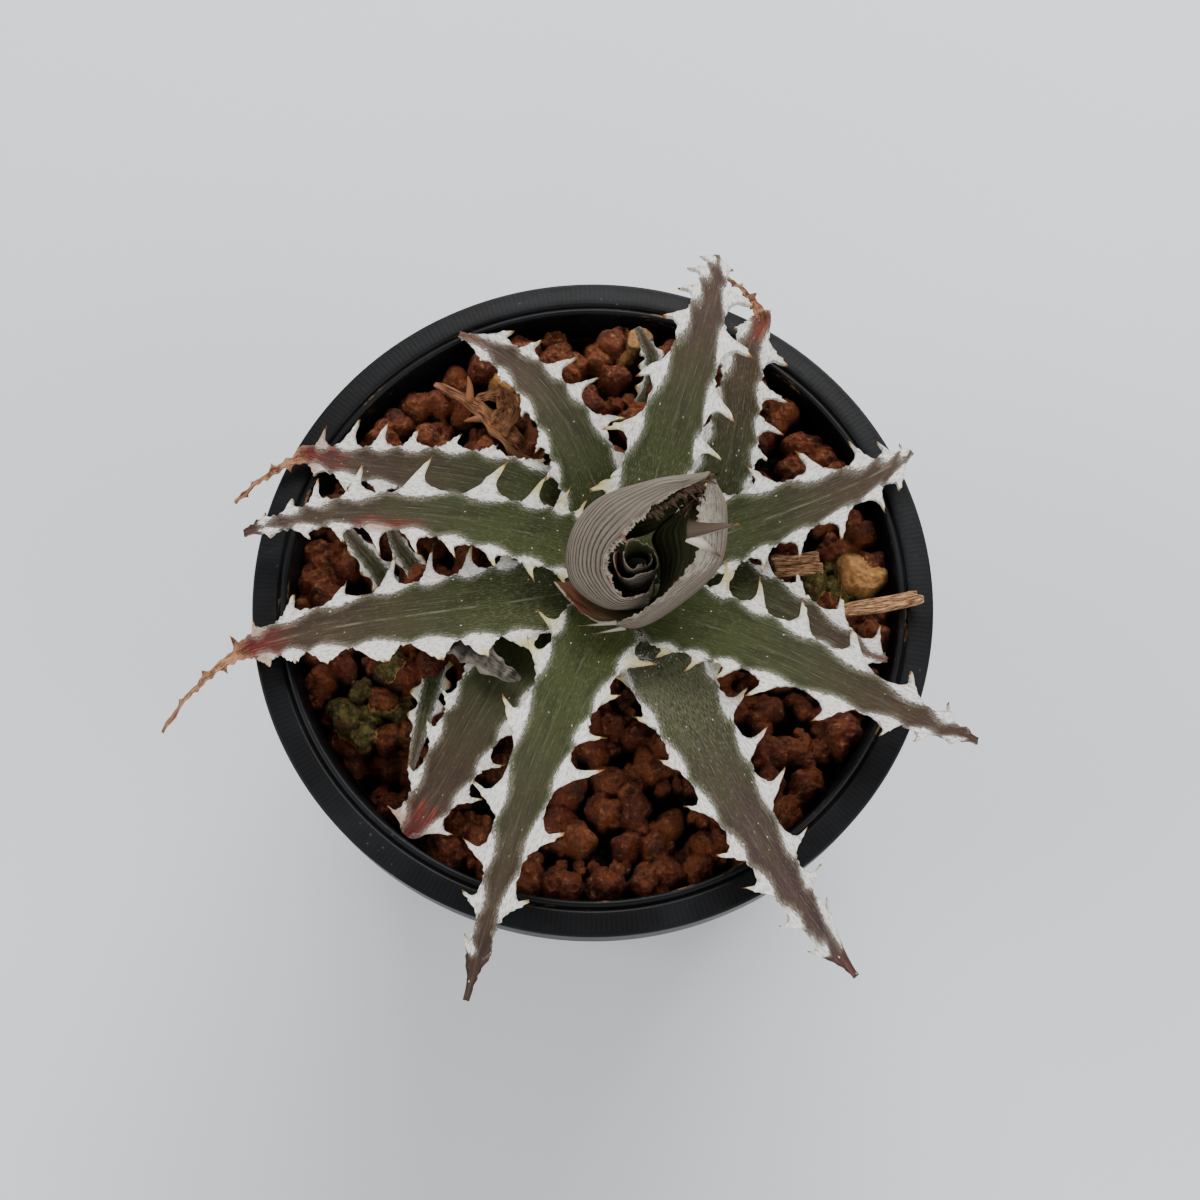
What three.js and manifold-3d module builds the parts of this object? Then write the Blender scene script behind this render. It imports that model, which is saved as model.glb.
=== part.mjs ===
// A dyckia bromeliad in its round plastic pot: a rosette of stiff leaves with hooked teeth,
// a rolled young core, a few small and dried leaves, and a soil of coarse clay grains.
// Millimetres, +Z up. The origin is the middle of the pot's flat base.

import * as THREE from 'three';
import { mergeVertices } from 'three/addons/utils/BufferGeometryUtils.js';
import Module from 'manifold-3d';

const wasm = await Module();
wasm.setup();

// ---------------------------------------------------------------- driving dimensions

const GAP = 0.3; // clearance between any two pieces that meet
const SLIVER = 0.02; // details finer than this are left out

const POT = {
  height: 90,
  rimRadius: 52.5,
  grooveRadius: 48.5, // where the flat rim meets the rounded lip
  mouthRadius: 47,
  lipDepth: 1.5, // from the rim down to the narrowest part of the lip
  collarHeight: 8,
  wallRadius: 48, // outside, just under the collar
  baseRadius: 36,
  wall: 1.8,
  floor: 3,
  segments: 64,
  drains: 8,
  drainRadius: 3.5,
  drainRing: 22,
};

const SOIL = {
  level: 83, // of the creases between the grains, on the pot's axis
  slope: 0.045, // the level rises towards +Y
  dips: [
    // where the soil has sunk: at the stem, and in a hollow beside the wall
    { x: 5, y: 2.5, depth: 5.5, radius: 14 },
    { x: -37, y: -27.5, depth: 9, radius: 10 },
  ],
  lumps: [
    // bigger clods between the grains; lift is that of the middle over the creases
    { x: 41.8, y: 4.7, lift: 1.6, radius: 3.6 },
    { x: -38.5, y: -16.6, lift: 2.6, radius: 2.8 },
    { x: -35.8, y: -19.3, lift: 3.4, radius: 2.6 },
    { x: -31.3, y: -9.4, lift: 2, radius: 2.6 },
    { x: -32.4, y: -14.6, lift: 2.8, radius: 2.2 },
    { x: -32, y: -20, lift: 3.4, radius: 2.2 },
    { x: -27.8, y: -19.6, lift: 2.6, radius: 2.3 },
  ],
  squash: 0.85, // of a clod's height
  folds: 1, // how often a clod's faces are split
  spacing: 6.2, // from grain to grain
  segments: 48, // round the wall
  scatter: 0.36, // of the spacing: how far a grain lies off its place in the honeycomb
  grainHeight: [2.2, 4.4], // over the creases
  flat: 0.68, // of the way from a grain's middle to its corners: where its sides start
  shoulder: 0.74, // of its height: how high they start
};

const STEM = { x: 5, y: 2.5, radius: 4.6, bottom: 68, top: 94, taper: 0.3, sides: 20 };

// A leaf starts at this distance from the stem's axis.
const LEAF_ROOT = STEM.radius + 0.4;

// Each leaf runs out from the stem at its azimuth (degrees from +X) to its reach (mm from the axis).
// bow and hook bend it sideways in an arc and in an S, and shift moves its root sideways.
// heights are the root, the arch's control height and the tip. width is that of the green body at
// the root, and taper says how fast it narrows. roll tips the blade about its own length.
// left and right list the teeth of each side, seen from the stem: station (0 root, 1 tip), and how
// far the tooth's point stands from the midrib. A tail is a dried tip: it sets off at an angle of
// kink, curls on by turn (both in degrees) over its length and sinks by drop.
const LEAVES = [
  {
    name: 'leaf_front', azimuth: -110, reach: 69, bow: -1.8, hook: 0.4, shift: 0,
    heights: [92.5, 107, 92], width: 12.1, taper: 0.8,
    left: [[0.09, 10.3], [0.21, 7.6], [0.33, 8.3], [0.41, 9.7], [0.58, 7.5], [0.75, 5.3], [0.88, 1.9]],
    right: [[0.1, 9.5], [0.17, 9.1], [0.32, 8.6], [0.53, 8.1], [0.66, 6.8], [0.77, 4.8], [0.86, 2.7]],
  },
  {
    name: 'leaf_right', azimuth: -26, reach: 59, bow: -0.8, hook: -0.8, shift: -2.9,
    heights: [92.65, 106, 93], width: 11.4, taper: 0.62,
    left: [
      [0.07, 8.8], [0.16, 10.3], [0.26, 9.5], [0.39, 9.2],
      [0.55, 8], [0.755, 5.9], [0.89, 3.9], [0.96, 1.3],
    ],
    right: [
      [0.08, 7.5], [0.18, 8.2], [0.27, 8], [0.37, 8.6],
      [0.56, 8.1], [0.74, 5.2], [0.83, 4.1], [0.92, 1.8],
    ],
  },
  {
    name: 'leaf_back', azimuth: 74.5, reach: 54.6, bow: -1.2, hook: -0.5, shift: 0,
    heights: [92.38, 107, 95], width: 11.6, taper: 0.52,
    left: [[0.11, 9.2], [0.29, 9.9], [0.48, 7.8], [0.71, 6.4], [0.83, 5.2], [0.92, 4.6], [0.98, 2.8]],
    right: [[0.1, 8.6], [0.2, 9], [0.31, 9.2], [0.43, 9.3], [0.64, 9.1], [0.81, 7.2], [0.94, 2.8]],
  },
  {
    name: 'leaf_left_upper', azimuth: 173.5, reach: 59, bow: -2.7, hook: -0.5, shift: -3.6,
    heights: [92.77, 106, 94], width: 9.8, taper: 0.66,
    left: [
      [0.06, 7], [0.15, 7.4], [0.26, 7], [0.38, 6.6], [0.49, 6.9],
      [0.6, 7.3], [0.71, 5.2], [0.81, 3.8], [0.92, 2],
    ],
    right: [
      [0.05, 7.4], [0.1, 8.7], [0.17, 9.6], [0.28, 10], [0.48, 8.9],
      [0.66, 7.3], [0.78, 5.6], [0.85, 3.4], [0.93, 2],
    ],
  },
  {
    name: 'leaf_front_right', azimuth: -61, reach: 70, bow: -2.6, hook: -0.4, shift: -0.5,
    heights: [89, 101, 91.7], width: 13.4, taper: 0.68,
    left: [
      [0.1, 8.5], [0.19, 9.3], [0.29, 9.7], [0.4, 9.6],
      [0.51, 8.8], [0.66, 6.9], [0.75, 5.6], [0.82, 3.6],
    ],
    right: [
      [0.12, 8], [0.24, 7.8], [0.36, 7.5], [0.48, 7.2],
      [0.61, 6.9], [0.7, 6.1], [0.81, 5], [0.89, 3.4],
    ],
  },
  {
    name: 'leaf_back_right', azimuth: 24.5, reach: 49, bow: -1.6, hook: -0.8, shift: 1,
    heights: [89.17, 99, 93], width: 12.2, taper: 0.57,
    left: [[0.1, 8], [0.25, 8.9], [0.41, 8.8], [0.6, 8.2], [0.81, 6.6], [0.91, 4.2], [0.98, 2.1]],
    right: [[0.1, 8], [0.22, 8.2], [0.34, 8.3], [0.47, 8.2], [0.62, 7.7], [0.79, 6.5], [0.87, 4.5]],
  },
  {
    name: 'leaf_back_left', azimuth: 123, reach: 48, bow: -4.7, hook: -0.8, shift: -1.7,
    heights: [88.86, 99, 92], width: 11.8, taper: 0.62, roll: -12,
    left: [[0.1, 7.5], [0.2, 7.4], [0.31, 7], [0.43, 6.4], [0.59, 5.2], [0.76, 3.6], [0.88, 2.4]],
    right: [[0.12, 8.2], [0.25, 8.6], [0.39, 8.7], [0.54, 8.1], [0.63, 7.5], [0.75, 5.6], [0.84, 4.1]],
  },
  {
    name: 'leaf_left', azimuth: -169, reach: 58, bow: 0.8, hook: -0.6, shift: -0.8,
    heights: [89.28, 100, 92.5], width: 12.2, taper: 0.5,
    left: [
      [0.1, 8], [0.22, 8.4], [0.34, 8.4], [0.46, 8.1],
      [0.62, 7.2], [0.79, 5.7], [0.88, 4.4], [0.96, 3.7],
    ],
    right: [
      [0.1, 8.5], [0.21, 9.5], [0.32, 9.9], [0.44, 9.9],
      [0.55, 9.4], [0.7, 6.4], [0.85, 6.3], [0.98, 3.8],
    ],
    tail: { length: 18.6, kink: 14, turn: 28, drop: 5 },
  },
  {
    name: 'leaf_left_lower', azimuth: 157.5, reach: 53, bow: -3.4, hook: 2, shift: -4.4,
    heights: [85.5, 98, 92], width: 10.6, taper: 0.5,
    left: [
      [0.12, 6.5], [0.25, 6.6], [0.37, 6.5], [0.5, 6.2],
      [0.62, 6], [0.74, 5.5], [0.85, 5], [0.96, 3.4],
    ],
    right: [
      [0.14, 6.5], [0.28, 6.2], [0.42, 6], [0.53, 6.5],
      [0.66, 6.4], [0.76, 7.2], [0.86, 7], [0.98, 4.9],
    ],
    tail: { length: 14, kink: 40, turn: 25, drop: 2 },
  },
  {
    name: 'leaf_right_lower', azimuth: -17, reach: 42, bow: 2, hook: -1.5, shift: 2,
    heights: [88.3, 94.6, 89.4], width: 10, taper: 0.6,
    left: [[0.12, 6.5], [0.24, 6.7], [0.37, 6.4], [0.5, 5.9], [0.7, 6], [0.92, 4.6]],
    right: [[0.12, 6.5], [0.26, 6.8], [0.4, 6.6], [0.55, 6.2], [0.7, 5.3], [0.87, 3.9]],
  },
  {
    name: 'leaf_back_lower', azimuth: 63, reach: 48, bow: -5.2, hook: 2.8, shift: 0.5,
    heights: [84.6, 98.4, 92], width: 10.6, taper: 0.52,
    left: [[0.12, 7], [0.25, 7.2], [0.38, 7], [0.5, 6.8], [0.63, 6.2], [0.77, 5.2], [0.92, 3.4]],
    right: [[0.12, 6.8], [0.25, 6.6], [0.36, 6.2], [0.47, 6.4], [0.56, 7.8], [0.67, 7.7], [0.82, 6.8]],
    tail: { length: 9.5, kink: 45, turn: 45, drop: 0.5 },
  },
  {
    name: 'leaf_front_left', azimuth: -130.2, reach: 51.5, bow: -2.5, hook: 1.7, shift: -2.7,
    heights: [85.81, 95, 88], width: 11.6, taper: 0.3,
    left: [[0.12, 7], [0.26, 7.4], [0.4, 7.4], [0.53, 7.4], [0.66, 7.3], [0.78, 6.8], [0.91, 5.9]],
    right: [[0.12, 6.5], [0.25, 6.8], [0.38, 6.9], [0.53, 6.8], [0.64, 6.6], [0.8, 5.7], [0.96, 5]],
  },
];

const BLADE = {
  edge: 0.8, // thickness at the toothed margin
  keel: 0.26, // of the body's half width, added under the midrib
  channel: 0.24, // of the body's half width, the depth of the hollow upper face
  margin: 0.9, // the pale border outside the green body, at the root
  marginFade: 0.6, // the share of it that is lost on the way to the tip
  rootBorder: 0.3, // the border at the root itself, and where a tail sets on
  tipBorder: 0.1,
  tip: 0.45, // half width at the very tip
  rootSpread: 0.72, // of the distance from the stem's axis: the most that half a body takes up
  toothRise: 0.1, // of a tooth's length: its point stands up a little
};

// Four stations a tooth, in parts of the spacing on their side of its point. The inner corner lies
// outwards of the point, so the tooth hooks back towards the root.
const TOOTH = { bay: 0.32, corner: 0.06, base: 0.2, shoulder: 0.34, cornerReach: 0.3, shoulderReach: 0.34 };

// A dried tail: the width of its body, the half widths of its outline at the end and (added) at its
// neck, and how far its withered teeth stand out.
const TAIL = { body: 1.2, half: 0.42, neck: 1.4, tooth: 0.9, rings: 7 };

// The rolled core. Each sheet is given by lines from one end to its tip, from the low edge at the
// stem, over its widest line, to the free margin. Its spines run from the margin to their points,
// each with the radius of its root.
const CORE = {
  thickness: 0.9,
  span: 10, // about the distance from a sheet's low edge to its margin
  hood: {
    low: [
      [8.6, -1, 95.6], [4.6, -2.3, 95.5], [0.8, -0.6, 95.5], [0.1, 3, 95.6],
      [2, 6.4, 95.8], [9, 8, 98], [16.6, 11, 115.8],
    ],
    wide: [
      [8.5, -3.6, 98], [2, -4, 98.7], [-3, -0.5, 101.2], [-3, 4.5, 104.5],
      [0.5, 9, 107.5], [8.5, 10.5, 112], [17.2, 10.7, 116.8],
    ],
    margin: [
      [8.5, -2, 100], [5, -3.3, 101.3], [2.5, 0, 104], [3, 2, 106.3],
      [6, 4.5, 109.7], [10, 7.5, 113.8], [16.5, 10, 117],
    ],
    along: 14,
    across: 6,
    bulge: 1.2,
    spines: [],
  },
  wrap: {
    low: [
      [-0.6, 2.6, 94.4], [0, -0.6, 94.4], [2.4, -2.8, 94.4], [6.4, -3.2, 94.5],
      [9.8, -1, 94.8], [10.2, 4.2, 95.6], [9, 7, 98], [14.6, 9.4, 108.5],
    ],
    wide: [
      [-3.9, 0.8, 95], [-1.3, -2.3, 95.2], [2, -4.7, 95.9], [6.4, -6.8, 97.6],
      [12.5, -4.5, 101], [18.3, 0.5, 105], [19, 7, 110], [17.3, 10, 115],
    ],
    margin: [
      [-5.9, 0.9, 95.7], [-3, -2.9, 96.2], [0.8, -6, 97.2], [5.6, -5.9, 99.6],
      [11, -3, 104], [15.3, 1.2, 108.8], [15.2, 7, 113], [17, 10, 116],
    ],
    along: 18,
    across: 5,
    bulge: 0.6,
    spines: [
      [[3.1, -6.7, 98.6], [-2.2, -7, 98.4], 0.55],
      [[4.4, -7.4, 98.2], [-0.1, -8.2, 98.2], 0.55],
      [[15.7, 5, 109.6], [22, 4.8, 111], 1.1],
      [[16.2, 3, 108], [18.7, 0.5, 108], 1],
    ],
  },
  bud: {
    x: 6.8, y: 2.6, bottom: 94.8, height: 8, radius: 2.8, flare: 0.04, wall: 0.8,
    turn: 320, // degrees from one end of the rolled sheet to the other
    inward: 0.35, // how far the inner end lies inside the outer one
    lean: 0.2, // of its height: how much lower the rim is on one side
    along: 14,
    across: 3,
  },
};

// Narrow leaves and dried scraps, each along a line from its root to its tip. width is at the root,
// lumps is how far the teeth stand out of it on alternating sides.
const STRIP = { thickness: 0.8, fold: 0.22 };
const SPINE = { point: 0.3, sides: 5 }; // the radius at a spine's point, and its faces
const STRIPS = [
  {
    name: 'pup_leaf_outer', finish: 'leaf', width: 3.4, lumps: 0.9, steps: 11,
    line: [[-30.5, 2, 81.5], [-33, 5, 85], [-37, 9.5, 88], [-39.5, 12.5, 89]],
  },
  {
    name: 'pup_leaf_inner', finish: 'leaf', width: 3, lumps: 0.8, steps: 9,
    line: [[-24.5, 1.5, 81.5], [-27, 4.8, 85], [-30.5, 9.4, 88.4], [-31.6, 12, 89.4]],
  },
  {
    name: 'leaf_back_small', finish: 'leaf', width: 2.6, lumps: 1.1, steps: 11,
    line: [[5.5, 31, 82.5], [9, 35, 86], [9.4, 40, 88.2], [8.2, 42.4, 89.6], [7, 44.4, 90.8]],
  },
  {
    name: 'leaf_left_narrow', finish: 'leaf', width: 3, lumps: 1.5, steps: 11,
    line: [[-24, -6.5, 82], [-25, -14, 86], [-26.4, -21, 87.4], [-27.6, -26.6, 87]],
  },
  {
    name: 'dried_tip', finish: 'dried', width: 4, lumps: 0.7, steps: 7,
    line: [[-22, -6.6, 90.6], [-18, -9, 91.8], [-14.6, -11.8, 92.2], [-11, -13.8, 91.9]],
  },
  {
    name: 'dried_leaf', finish: 'dried', width: 3.2, lumps: 0.5, steps: 10,
    line: [[-8.5, 23.8, 85.4], [-11.5, 25.6, 87], [-15, 28.6, 88.3], [-18.5, 32, 88.6], [-25, 36, 87.4]],
    flap: {
      width: 3.4, lumps: 0.3, steps: 6,
      line: [[-15.3, 28, 87.9], [-13.3, 31.1, 89.2], [-14.6, 33.4, 89.6], [-18.4, 33, 88.7]],
    },
    spines: [[[-19.6, 32.6, 88.6], [-19.8, 36.8, 89.2], 0.8], [[-17, 30, 88.4], [-20.4, 29.6, 88], 0.8]],
  },
];

// Broken twigs, from end to end.
const TWIGS = [
  { name: 'twig_inner', from: [27.7, 6, 87], to: [35.8, 6.5, 87.4], radius: 1.5, sides: 7 },
  { name: 'twig_outer', from: [37.2, -1.9, 87.6], to: [50.6, -0.6, 92.8], radius: 1.1, sides: 7 },
];

// ---------------------------------------------------------------- finishes

const FINISH = {
  plastic: { color: 0x1b1c1e, roughness: 0.5, metalness: 0 },
  grains: { color: 0x6e3a22, roughness: 0.95, metalness: 0 },
  leaf: { color: 0x5b6147, roughness: 0.6, metalness: 0 },
  core: { color: 0x8a8378, roughness: 0.7, metalness: 0 },
  dried: { color: 0x9a7a5c, roughness: 0.85, metalness: 0 },
  stem: { color: 0x8d8a62, roughness: 0.8, metalness: 0 },
};

// ---------------------------------------------------------------- solids

// A closed geometry as a manifold solid, facing out.
function solid(geometry) {
  const bare = new THREE.BufferGeometry();
  bare.setAttribute('position', geometry.getAttribute('position'));
  bare.setIndex(geometry.getIndex());
  const merged = mergeVertices(bare, 1e-4);
  const corners = merged.index.array;
  const kept = [];
  for (let i = 0; i < corners.length; i += 3) {
    const [a, b, c] = [corners[i], corners[i + 1], corners[i + 2]];
    if (a !== b && b !== c && c !== a) kept.push(a, b, c);
  }
  return new wasm.Manifold(
    new wasm.Mesh({
      numProp: 3,
      vertProperties: merged.getAttribute('position').array,
      triVerts: new Uint32Array(kept),
    }),
  );
}

function geometryOf(body) {
  const mesh = body.getMesh();
  const geometry = new THREE.BufferGeometry();
  geometry.setAttribute('position', new THREE.BufferAttribute(new Float32Array(mesh.vertProperties), 3));
  geometry.setIndex(new THREE.BufferAttribute(new Uint32Array(mesh.triVerts), 1));
  geometry.computeVertexNormals();
  return geometry;
}

// The largest body of a cut solid, without its slivers: the loose scraps are dropped.
function largest(body) {
  return body.decompose().sort((a, b) => b.volume() - a.volume())[0].simplify(SLIVER);
}

// Closed rings of points joined into one closed geometry, with a fan over each end.
// turned[j] says which way the j-th face between two rings is split.
function loft(rings, turned = []) {
  const count = rings[0].length;
  const index = [];
  for (let k = 0; k + 1 < rings.length; k++) {
    for (let j = 0; j < count; j++) {
      const a = k * count + j;
      const b = k * count + ((j + 1) % count);
      const c = b + count;
      const d = a + count;
      if (turned[j]) index.push(a, d, b, b, d, c);
      else index.push(a, c, b, a, d, c);
    }
  }
  const last = (rings.length - 1) * count;
  for (let j = 1; j + 1 < count; j++) {
    index.push(0, j, j + 1);
    index.push(last, last + j + 1, last + j);
  }
  const geometry = new THREE.BufferGeometry().setFromPoints(rings.flat());
  geometry.setIndex(index);
  return geometry;
}

// A sheet with a thickness: point(u, v) over a grid, offset half the thickness to either side.
// beyond lets v run past its ends, as a share of its span.
function sheet(point, along, across, thickness, beyond = 0) {
  const step = 1e-3;
  const rings = [];
  for (let i = 0; i <= along; i++) {
    const over = [];
    const under = [];
    for (let j = 0; j <= across; j++) {
      const u = i / along;
      const v = (1 + 2 * beyond) * (j / across) - beyond;
      const du = point(Math.min(u + step, 1), v).sub(point(Math.max(u - step, 0), v));
      const dv = point(u, v + step).sub(point(u, v - step));
      const normal = du.cross(dv).normalize();
      over.push(point(u, v).addScaledVector(normal, thickness / 2));
      under.unshift(point(u, v).addScaledVector(normal, -thickness / 2));
    }
    rings.push([...over, ...under]);
  }
  const turned = Array.from({ length: 2 * across + 2 }, (_, j) => j > across);
  return loft(rings, turned);
}

// ---------------------------------------------------------------- leaves

const radians = THREE.MathUtils.degToRad;

// The midrib: a point at station t, past 1 along the dried tail.
function midrib(leaf, t) {
  const turn = radians(leaf.azimuth);
  const s = leaf.tail ? Math.min(t, 1) : t;
  const out = LEAF_ROOT + (leaf.reach - LEAF_ROOT) * s;
  const bow = leaf.bow * 4 * s * (1 - s);
  const hook = leaf.hook * 8 * s * (1 - s) * (2 * s - 1);
  const side = bow + hook + leaf.shift * (1 - s);
  const [root, arch, tip] = leaf.heights;
  const point = new THREE.Vector3(
    STEM.x + out * Math.cos(turn) - side * Math.sin(turn),
    STEM.y + out * Math.sin(turn) + side * Math.cos(turn),
    root * (1 - s) ** 2 + 2 * arch * s * (1 - s) + tip * s ** 2,
  );
  if (leaf.tail && t > 1) {
    const { length, kink, turn: curl, drop } = leaf.tail;
    const share = t - 1;
    const sideSlope = (-4 * leaf.bow + 8 * -leaf.hook - leaf.shift) / (leaf.reach - LEAF_ROOT);
    const start = turn + Math.atan(sideSlope) + radians(kink);
    const bend = radians(curl);
    point.x += (length / bend) * (Math.sin(start + bend * share) - Math.sin(start));
    point.y -= (length / bend) * (Math.cos(start + bend * share) - Math.cos(start));
    point.z -= drop * share ** 2;
  }
  return point;
}

// A point of the blade: out sideways to the left by d and up by h from the midrib at station t.
function bladePoint(leaf, t, d, h) {
  const step = 0.005;
  const along = midrib(leaf, t + step).sub(midrib(leaf, t - step)).normalize();
  const left = new THREE.Vector3(-along.y, along.x, 0).normalize();
  left.applyAxisAngle(along, radians(leaf.roll ?? 0));
  const up = along.clone().cross(left);
  return midrib(leaf, t).addScaledVector(left, d).addScaledVector(up, h);
}

// Half the width of the green body. At the stem the leaves share the round between them.
function bodyHalf(leaf, t) {
  const end = leaf.tail ? 1.08 : 1;
  const share = BLADE.rootSpread * (LEAF_ROOT + (leaf.reach - LEAF_ROOT) * t) - GAP;
  const half = (leaf.width / 2) * (1 - Math.min(t, 1) / end) ** leaf.taper;
  return Math.max(Math.min(half, share), BLADE.tip);
}

// The margin of one side as stations from root to tip: the body's edge and the outline's point.
function marginStations(leaf, teeth, swell) {
  const grow = swell / leaf.reach;
  const bay = (t) => bodyHalf(leaf, t) + BLADE.margin * (1 - BLADE.marginFade * t);
  const stations = [{ edge: -grow, t: -grow, d: bodyHalf(leaf, 0) + BLADE.rootBorder }];
  teeth.forEach(([t, reach], i) => {
    const before = i ? t - teeth[i - 1][0] : t;
    const after = i + 1 < teeth.length ? teeth[i + 1][0] - t : 1 - t;
    const length = reach - bay(t);
    const bayAt = t - TOOTH.bay * before - grow;
    const cornerAt = t + TOOTH.corner * after - grow;
    const shoulderAt = t + TOOTH.shoulder * after + grow;
    stations.push({ edge: bayAt, t: bayAt, d: bay(bayAt) });
    stations.push({ edge: cornerAt, t: cornerAt, d: bay(cornerAt) + TOOTH.cornerReach * length });
    const point = { t: t - grow, d: reach, rise: BLADE.toothRise * length };
    stations.push({ ...point, edge: t + TOOTH.base * after });
    stations.push({ edge: shoulderAt, t: shoulderAt, d: bay(shoulderAt) + TOOTH.shoulderReach * length });
  });
  const end = leaf.tail ? 1 : 1 + grow;
  const border = leaf.tail ? BLADE.rootBorder : BLADE.tipBorder;
  stations.push({ edge: end, t: end, d: bodyHalf(leaf, 1) + border });
  return stations;
}

// One ring of the blade: its upper face from right to left, then its underside back.
function bladeRing(leaf, left, right, swell) {
  const middle = (left.edge + right.edge) / 2;
  const half = bodyHalf(leaf, middle);
  const hollow = BLADE.channel * half;
  const edgeThickness = BLADE.edge + 2 * swell;
  const point = (t, d, h) => bladePoint(leaf, t, d, h);
  return [
    point(right.t, -right.d - swell, (right.rise ?? 0) + swell),
    point(right.edge, -bodyHalf(leaf, right.edge), swell),
    point(middle, 0, swell - hollow),
    point(left.edge, bodyHalf(leaf, left.edge), swell),
    point(left.t, left.d + swell, (left.rise ?? 0) + swell),
    point(left.t, left.d + swell, (left.rise ?? 0) + swell - edgeThickness),
    point(middle, 0, -swell - hollow - BLADE.edge - BLADE.keel * half),
    point(right.t, -right.d - swell, (right.rise ?? 0) + swell - edgeThickness),
  ];
}

// A dried tail as narrow rings whose width comes and goes with its last withered teeth.
function tailRings(leaf, swell) {
  const { neck, half, tooth, rings } = TAIL;
  return Array.from({ length: rings }, (_, i) => {
    const left = 1 - (i + 1) / rings; // the share of the tail still to come
    const t = 2 - left + (left ? 0 : swell / leaf.tail.length);
    const width = half + neck * left ** 5;
    const spine = tooth * left;
    const sides = [width + (i % 2 ? spine : 0), width + (i % 2 ? 0 : spine)];
    const [a, b] = sides.map((d) => ({ edge: t, t, d }));
    return bladeRing({ ...leaf, width: TAIL.body }, a, b, swell);
  });
}

// swell grows the leaf all round, to cut clearance for it out of its neighbours.
function leafSolid(leaf, swell = 0) {
  const left = marginStations(leaf, leaf.left, swell);
  const right = marginStations(leaf, leaf.right, swell);
  const rings = left.map((station, i) => bladeRing(leaf, station, right[i], swell));
  if (leaf.tail) rings.push(...tailRings(leaf, swell));
  const split = [false, false, true, true, false, false, true, false];
  return solid(loft(rings, split));
}

// ---------------------------------------------------------------- core

const curve = (points) => new THREE.CatmullRomCurve3(points.map((p) => new THREE.Vector3(...p)));

// A spine as a slim cone from its root to its point, with its root's radius.
function spineSolid([from, to, radius], swell = 0) {
  const start = new THREE.Vector3(...from);
  const axis = new THREE.Vector3(...to).sub(start);
  const length = axis.length();
  const upright = new THREE.Vector3(0, 1, 0);
  const tilt = new THREE.Quaternion().setFromUnitVectors(upright, axis.normalize());
  const radii = [SPINE.point + swell, radius + swell];
  const cone = new THREE.CylinderGeometry(...radii, length + 2 * swell, SPINE.sides)
    .translate(0, length / 2, 0)
    .applyQuaternion(tilt)
    .translate(start.x, start.y, start.z);
  return solid(cone);
}

// A leaf of the core: between its low edge, widest line and margin, with a bulge towards the margin.
function coreSheet({ low, wide, margin, along, across, bulge, spines }, swell = 0) {
  const [lowLine, wideLine, marginLine] = [low, wide, margin].map(curve);
  const point = (u, v) => {
    const [a, b, c] = [lowLine, wideLine, marginLine].map((line) => line.getPoint(u));
    const lift = bulge * Math.sin(Math.PI * u) * 4 * v * (1 - v);
    return new THREE.Vector3()
      .addScaledVector(a, (1 - v) * (1 - 2 * v))
      .addScaledVector(b, 4 * v * (1 - v))
      .addScaledVector(c, v * (2 * v - 1))
      .add(new THREE.Vector3(0, 0, lift));
  };
  const blade = solid(sheet(point, along, across, CORE.thickness + 2 * swell, swell / CORE.span));
  return spines.reduce((body, spine) => body.add(spineSolid(spine, swell)), blade);
}

// The innermost leaves, rolled into a tube that is open along one side.
function budSolid(bud, swell) {
  const { x, y, bottom, height, radius, flare, wall, turn, inward, lean, along, across } = bud;
  const point = (u, v) => {
    const angle = radians(turn * u);
    const r = (radius - wall / 2 - inward * u) * (1 + flare * v * v);
    const z = bottom + height * v * (1 - lean * Math.cos(angle));
    return new THREE.Vector3(x + r * Math.cos(angle), y + r * Math.sin(angle), z);
  };
  return solid(sheet(point, along, across, wall + 2 * swell));
}

// ---------------------------------------------------------------- small leaves, scraps and twigs

// A strip along its line, narrowing to the tip, folded along its middle, with teeth by turns.
function stripBlade({ line, width, lumps, steps }, swell) {
  const path = curve(line);
  const rings = [];
  for (let k = 0; k <= steps; k++) {
    const t = k / steps;
    const along = path.getTangent(t);
    const left = new THREE.Vector3(-along.y, along.x, 0).normalize();
    const up = along.clone().cross(left);
    const half = (width / 2) * (1 - t) ** 0.6 + 0.4 + swell;
    const lump = lumps * Math.sin(Math.PI * Math.min(t * 1.4, 1)) ** 0.5;
    const [leftHalf, rightHalf] = k % 2 ? [half + lump, half] : [half, half + lump];
    const top = STRIP.thickness / 2 + swell;
    const fold = STRIP.fold * half;
    const beyond = swell * ((k === steps) - (k === 0));
    const middle = path.getPoint(t).addScaledVector(along, beyond);
    const at = (d, h) => middle.clone().addScaledVector(left, d).addScaledVector(up, h);
    rings.push([
      at(-rightHalf, top + fold),
      at(0, top),
      at(leftHalf, top + fold),
      at(leftHalf, fold - top),
      at(0, -top),
      at(-rightHalf, fold - top),
    ]);
  }
  return solid(loft(rings, [false, false, false, true, true, false]));
}

function stripSolid(strip, swell = 0) {
  const spines = strip.spines ?? [];
  const blade = stripBlade(strip, swell);
  const whole = strip.flap ? blade.add(stripBlade(strip.flap, swell)) : blade;
  return spines.reduce((body, spine) => body.add(spineSolid(spine, swell)), whole);
}

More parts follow.
